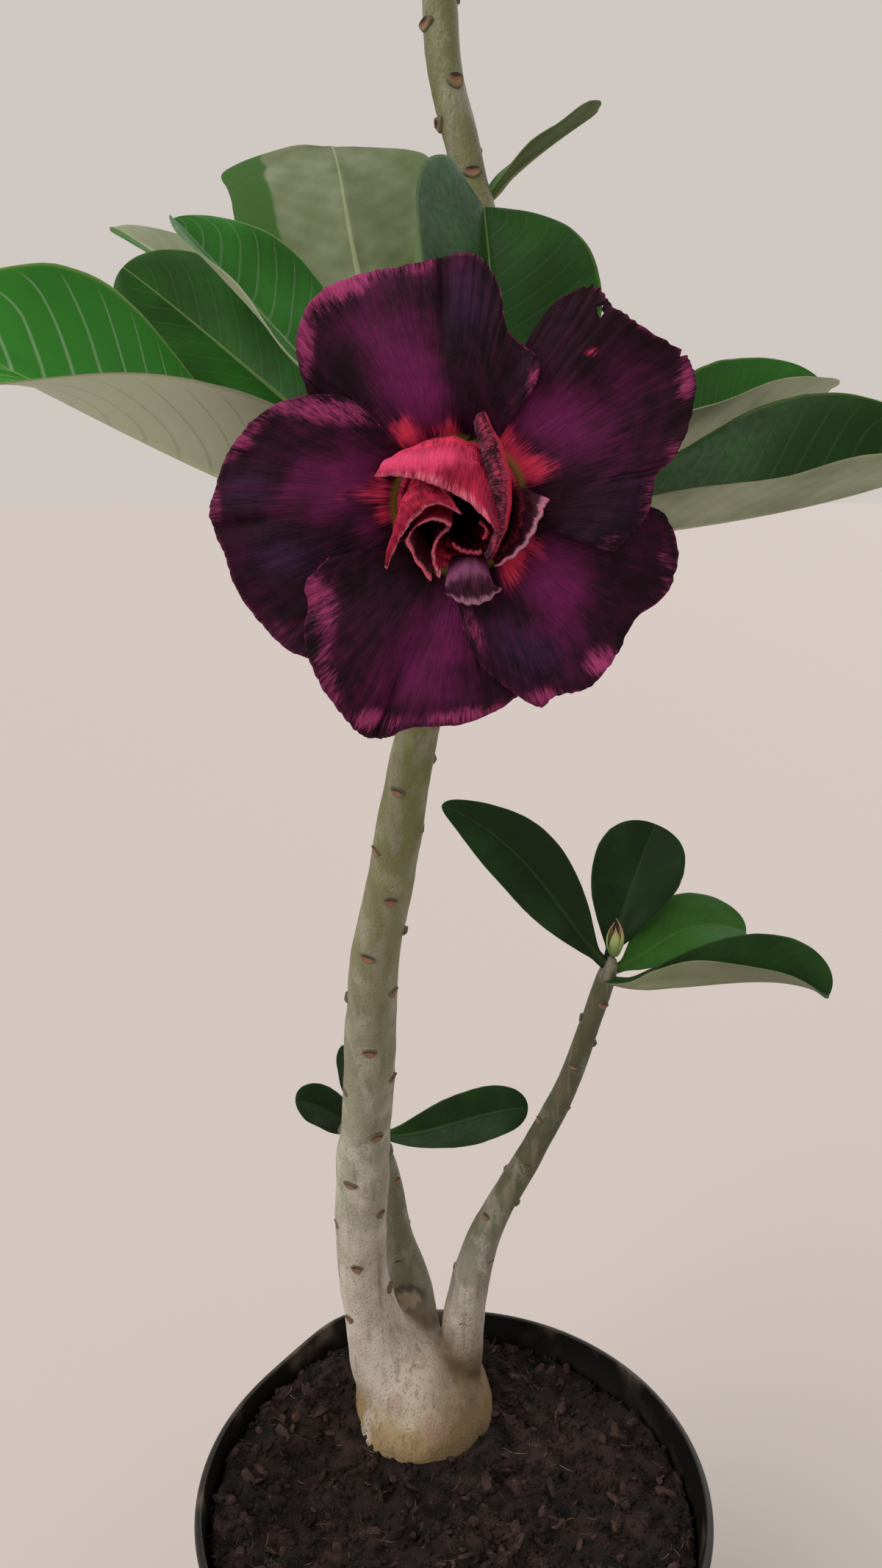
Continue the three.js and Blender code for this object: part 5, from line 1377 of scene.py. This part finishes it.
# Each petal runs from its root over a crest to its free rim. roll bends the rim outwards, and tints are
# those of the crest and of the rim, as painted magenta sheen, glow, pink and violet. Soft spots of tint
# may follow; the hood's magenta spots are a painted highlight along its upper-left fold.
SECOND = {
    "hood": {
        "root": [(-5.8, 5.4, -6), (-3.4, 7.6, -6), (0, 8.5, -6), (3.4, 7.8, -6), (6.4, 5.6, -6)],
        "crest": [(-11.2, 7.4, 3.4), (-7, 9.4, 3.5), (-1, 10.2, 4), (3.6, 6.4, 4.5), (6.4, -1.6, 5)],
        "rim": [(-13.4, 4.6, 4.8), (-7.4, 4.2, 6), (-2, 2.2, 6.2), (2.6, -0.8, 6.5), (5.8, -3.6, 6.7)],
        "finish": "crimson", "roll": 0.7, "tints": ((0.35, 0.5, 0.05, 0), (0.4, 0.1, 0.45, 0)),
        # Painted highlight along the hood's upper-left fold.
        "painted_sheen": [(-10.5, 5.6, 4.2, 3, 1.1), (-4, 7.4, 4.5, 1.5, 1.0)],
        "violet": [(5.6, -1, 2.4, 5, 0.9), (1, 6, 5, 4, 0.25)],
    },
    "blade": {
        "root": [(5.5, -6.5, -6), (7.6, -3.8, -6), (8.5, 0, -6), (7.8, 3.4, -6), (6, 6, -6)],
        "crest": [(4.8, -9, 3.2), (7.2, -4, 4), (7.9, 1.5, 4.5), (7, 8, 4), (4.2, 13.8, 3)],
        "rim": [(4.2, -8, 4.6), (5.6, -4.6, 5.4), (5.4, 1.2, 5.8), (3.8, 7.4, 5.4), (2.2, 13.2, 4)],
        "finish": "mauve", "roll": -0.3, "tints": ((0, 1.3, 0, 0), (0, 0.1, 0.2, 0.2)),
    },
    "pocket": {
        "root": [(4.4, -7.3, -6), (6.5, -5.5, -6), (8, -2.9, -6), (8.5, 0, -6), (8.2, 2.2, -6)],
        "crest": [(5.8, -9.2, 0.8), (8.2, -7, 0.4), (9.9, -4, 0.4), (10.3, -0.5, 0.4), (9.4, 3, 0.6)],
        "rim": [(5.6, -9.6, 3.4), (8.6, -7.8, 4.2), (11, -5.4, 4.4), (12.8, -2, 4.2), (14.2, 1, 3.4)],
        "finish": "mauve", "roll": 0.4, "tints": ((0.3, 0.3, 0, 0), (0.1, 0.3, 1.0, 0)),
    },
    "lip": {
        "root": [(-1.2, -8.4, -6), (0.4, -8.5, -6), (1.8, -8.3, -6), (3.2, -7.9, -6), (4.6, -7.2, -6)],
        "crest": [
            (-2.2, -12.4, 3.4), (-0.4, -10.8, 4.4), (1.6, -10.2, 4.6), (3.6, -10.4, 4.2), (5, -11.6, 3.2),
        ],
        "rim": [(-2.2, -13.8, 2.4), (0, -15.4, 2.2), (2.2, -15.9, 2.2), (4.8, -15.1, 2.2), (6.8, -13.2, 2.4)],
        "finish": "mauve", "roll": 0.2, "tints": ((1.1, 0, 0.1, 0), (0.8, 0, 0.9, 0)),
    },
    "ribbon": {
        "root": [(-3.7, 7.4, -6), (-6.1, 5.3, -6), (-8, 2.3, -6), (-8.2, -1.4, -6), (-7.1, -4.5, -6)],
        "crest": [(-2.4, 3, 3), (-6, 2.6, 3), (-8.8, 1.2, 3), (-10.4, -2.6, 2.8), (-11.4, -7, 2.6)],
        "rim": [(0.2, -0.8, 4.6), (-3.6, 0.4, 5), (-6.6, -1.4, 4.6), (-9.6, -5, 3.6), (-12, -10, 2.6)],
        "finish": "crimson", "roll": 0.6, "tints": ((0.5, 0.5, 0, 0), (0.3, 0.2, 0.6, 0.1)),
    },
}
THIRD = {
    "left_roll": {
        "root": [(-1.4, 6.6, -8), (-4, 5.4, -8), (-6.4, 2, -8), (-6.6, -1.6, -8), (-5, -4.6, -8)],
        "crest": [(-1.2, 0, -2.6), (-3.8, 0.4, -1.6), (-6.8, -1.6, 0), (-7.4, -5.6, 0), (-4.4, -8.2, -1)],
        "rim": [(-1.2, -2.8, 1.2), (-4, -2, 2.6), (-8.2, -4.8, 3.6), (-6.8, -8.6, 3), (-4.6, -11.8, 2.4)],
        "finish": "maroon", "roll": 0.9, "tints": ((0, 0.1, 0, 0), (0.2, 0.3, 1.2, 0)),
    },
    "inner_left_roll": {
        "root": [(-2.4, 5.6, -9), (-4.6, 2.8, -9), (-5.4, -1, -9), (-4.2, -4, -9), (-2.4, -5.8, -9)],
        "crest": [(-1, 0.4, -4), (-3, -1.4, -3.4), (-4.4, -4.4, -2.6), (-4.2, -7, -2.4), (-2.6, -7.8, -2.4)],
        "rim": [(-1.7, -3.6, 0.2), (-3.3, -5, 1.4), (-4.2, -7.2, 1.8), (-3.9, -9.8, 1.8), (-3.3, -11.4, 1.6)],
        "finish": "maroon", "roll": 0.8, "tints": ((0, 0.1, 0, 0), (0.2, 0.2, 1.1, 0)),
    },
    "lower_fold": {
        "root": [(-1.2, -6.2, -9), (0.4, -6.3, -9), (2, -6, -9), (3.6, -5.2, -9)],
        "crest": [(-1, -6.2, -4.6), (0.6, -6.8, -4), (2.2, -6.8, -3.8), (3.8, -6.2, -4)],
        "rim": [(-1.2, -6, -0.4), (0.4, -7.1, 0.2), (2.2, -7.5, 0.6), (3.6, -7.5, 1)],
        "finish": "maroon", "roll": 0.5, "tints": ((0, 0.1, 0, 0), (0, 0.4, 0.9, 0)),
    },
    "right_fold": {
        "root": [(5.6, -3, -9), (6.2, -1.4, -9), (6.2, 0.4, -9), (5.6, 2.4, -9)],
        "crest": [(4.8, -4.4, -2.6), (5.2, -3, -2.4), (5, -1.8, -2.6), (4.4, -0.6, -3)],
        "rim": [(3.9, -5.4, 0.8), (4.4, -4.2, 1.6), (4, -3.4, 1.4), (3.2, -2.8, 0.6)],
        "finish": "maroon", "roll": 0.4, "tints": ((0.1, 0.2, 0, 0), (0.2, 0.5, 0.9, 0)),
    },
}
crimson_tones = "#7c142c #cc2a50 #f04e7e #e03440 #ee94ac #5e1838"
crimson = petal_finish("inner_petal_crimson", crimson_tones, 0.42, 70.0, hairs=0.3)
mauve = petal_finish("inner_petal_mauve", "#260c18 #4c2034 #8c4e76 #dc3048 #c08ca6 #4a2038", 0.5, 70.0)
maroon = petal_finish("inner_petal_maroon", "#2a0810 #48121e #8a2a44 #c82c44 #d8687e #2c1020", 0.5, 70.0)
INNER_FINISHES = {"crimson": [crimson, mauve], "mauve": [mauve, crimson], "maroon": [maroon, crimson]}


def inner_petal(name, petal, grid, order):
    lines = [[np.array(p, float) for p in petal[key]] for key in ("root", "crest", "rim")]
    crest_tints, rim_tints = (np.array(t, float) for t in petal["tints"])

    def surface(a, b):
        low, high, last = (curve_point(line, a) for line in lines)
        p = low * (1 - b) * (1 - 2 * b) + high * 4 * b * (1 - b) + last * b * (2 * b - 1)
        outward = last - high
        outward /= np.linalg.norm(outward)
        frill = 0.22 * noise.noise(Vector((a * 26, order, 2)))
        frill += 0.12 * noise.noise(Vector((a * 60, order, 6)))
        p = p + outward * frill * float(eased(b, 0.8, 1))
        away = np.array([p[0], p[1], 0]) / max(1.0, math.hypot(p[0], p[1]))
        p = p + (away * 0.8 + np.array([0, 0, -0.6])) * petal["roll"] * float(eased(b, 0.82, 1.05))
        return p + away * 0.14 * math.sin(a * 34 + order) * float(eased(b, 0.2, 0.6))

    def tints(a, b):
        to_rim = float(eased(b, 0.86, 1.0))
        far = float(eased(b, 0.5, 0.72))
        between = crest_tints * (1 - 0.8 * far) * float(eased(b, 0.1, 0.5))
        spots = np.array(spot_tints(petal, *surface(a, b)[:2]))
        return (between + spots) * (1 - to_rim) + rim_tints * to_rim

    finishes = INNER_FINISHES[petal["finish"]]
    return petal_sheet("petal_" + name, surface, tints, *grid, finishes, order, INNER_THICK)


second = [inner_petal(name, petal, SECOND_GRID, 10 + k) for k, (name, petal) in enumerate(SECOND.items())]
second.append(cup("tube_second", -5, -24, NESTED, CUP_WALL, [maroon, maroon], 18))
second = merged("second_corolla", second)
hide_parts("corolla_second")
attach(second, "root")

third = [inner_petal(name, petal, THIRD_GRID, 20 + k) for k, (name, petal) in enumerate(THIRD.items())]
third.append(cup("tube_third", -7.4, -21, 2 * NESTED, CUP_WALL, [maroon, maroon], 28))
third = merged("third_corolla", third)
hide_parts("corolla_third")
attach(third, "root")

# ---- Flower stalk and calyx ----
# A short stalk and five pointed green sepals, finely hairy, that hold the base of the bloom's tube.
# One closed shape, laid ring by ring along its section, with the sepals' teeth raised from its rings.

SEPALS, CALYX_SIDES = 5, 60
CALYX = [
    # radius, depth, how long the teeth are there, how far the tips stand out
    (0.05, -41.2, 0, 0), (1.3, -41.2, 0, 0), (1.7, -40.4, 0, 0), (2.6, -40, 0, 0), (3.3, -39.4, 0, 0),
    (4, -38, 0, 0), (4.3, -37, 3, 0.2), (4.4, -36.6, 5, 0.3), (4.1, -36.3, 5.1, 0.3), (3.8, -36.5, 4.8, 0.3),
    (3.4, -37.4, 2, 0.1), (3.2, -38, 0, 0), (2.4, -39.3, 0, 0), (0.05, -39.3, 0, 0),
]

calyx_finish, tree = new_finish("hairy_green_calyx", Roughness=0.6, Sheen_Weight=0.25)
skin = grain(tree, 2500, 250)
tone = mix(ramp(skin["Broad"], 0.35, 0.65), "#4f6a32", "#7f8c4c")
tone = coats(tone, (ramp(skin["Fine"], 0.55, 0.75, 0.0, 0.5), "#8a5a48"))
paint(tone, None, skin["Height"], 0.0002, 0.5)

points = []
for radius, depth, tooth, tip in CALYX:
    for i in range(CALYX_SIDES):
        a = i * 2 * math.pi / CALYX_SIDES
        rise = (0.5 + 0.5 * math.cos(SEPALS * a)) ** 1.6 * tooth
        x, y = -0.4, -6.6 + 1.1 * (depth + rise + 41.2) / 6.2
        out = radius + tip * rise
        points.append(from_bloom((x + out * math.cos(a), y + out * math.sin(a), depth + rise)))
calyx = shape("calyx", points, tube_faces(len(CALYX), CALYX_SIDES), [calyx_finish])
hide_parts("calyx_stalk")
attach(calyx, "root")
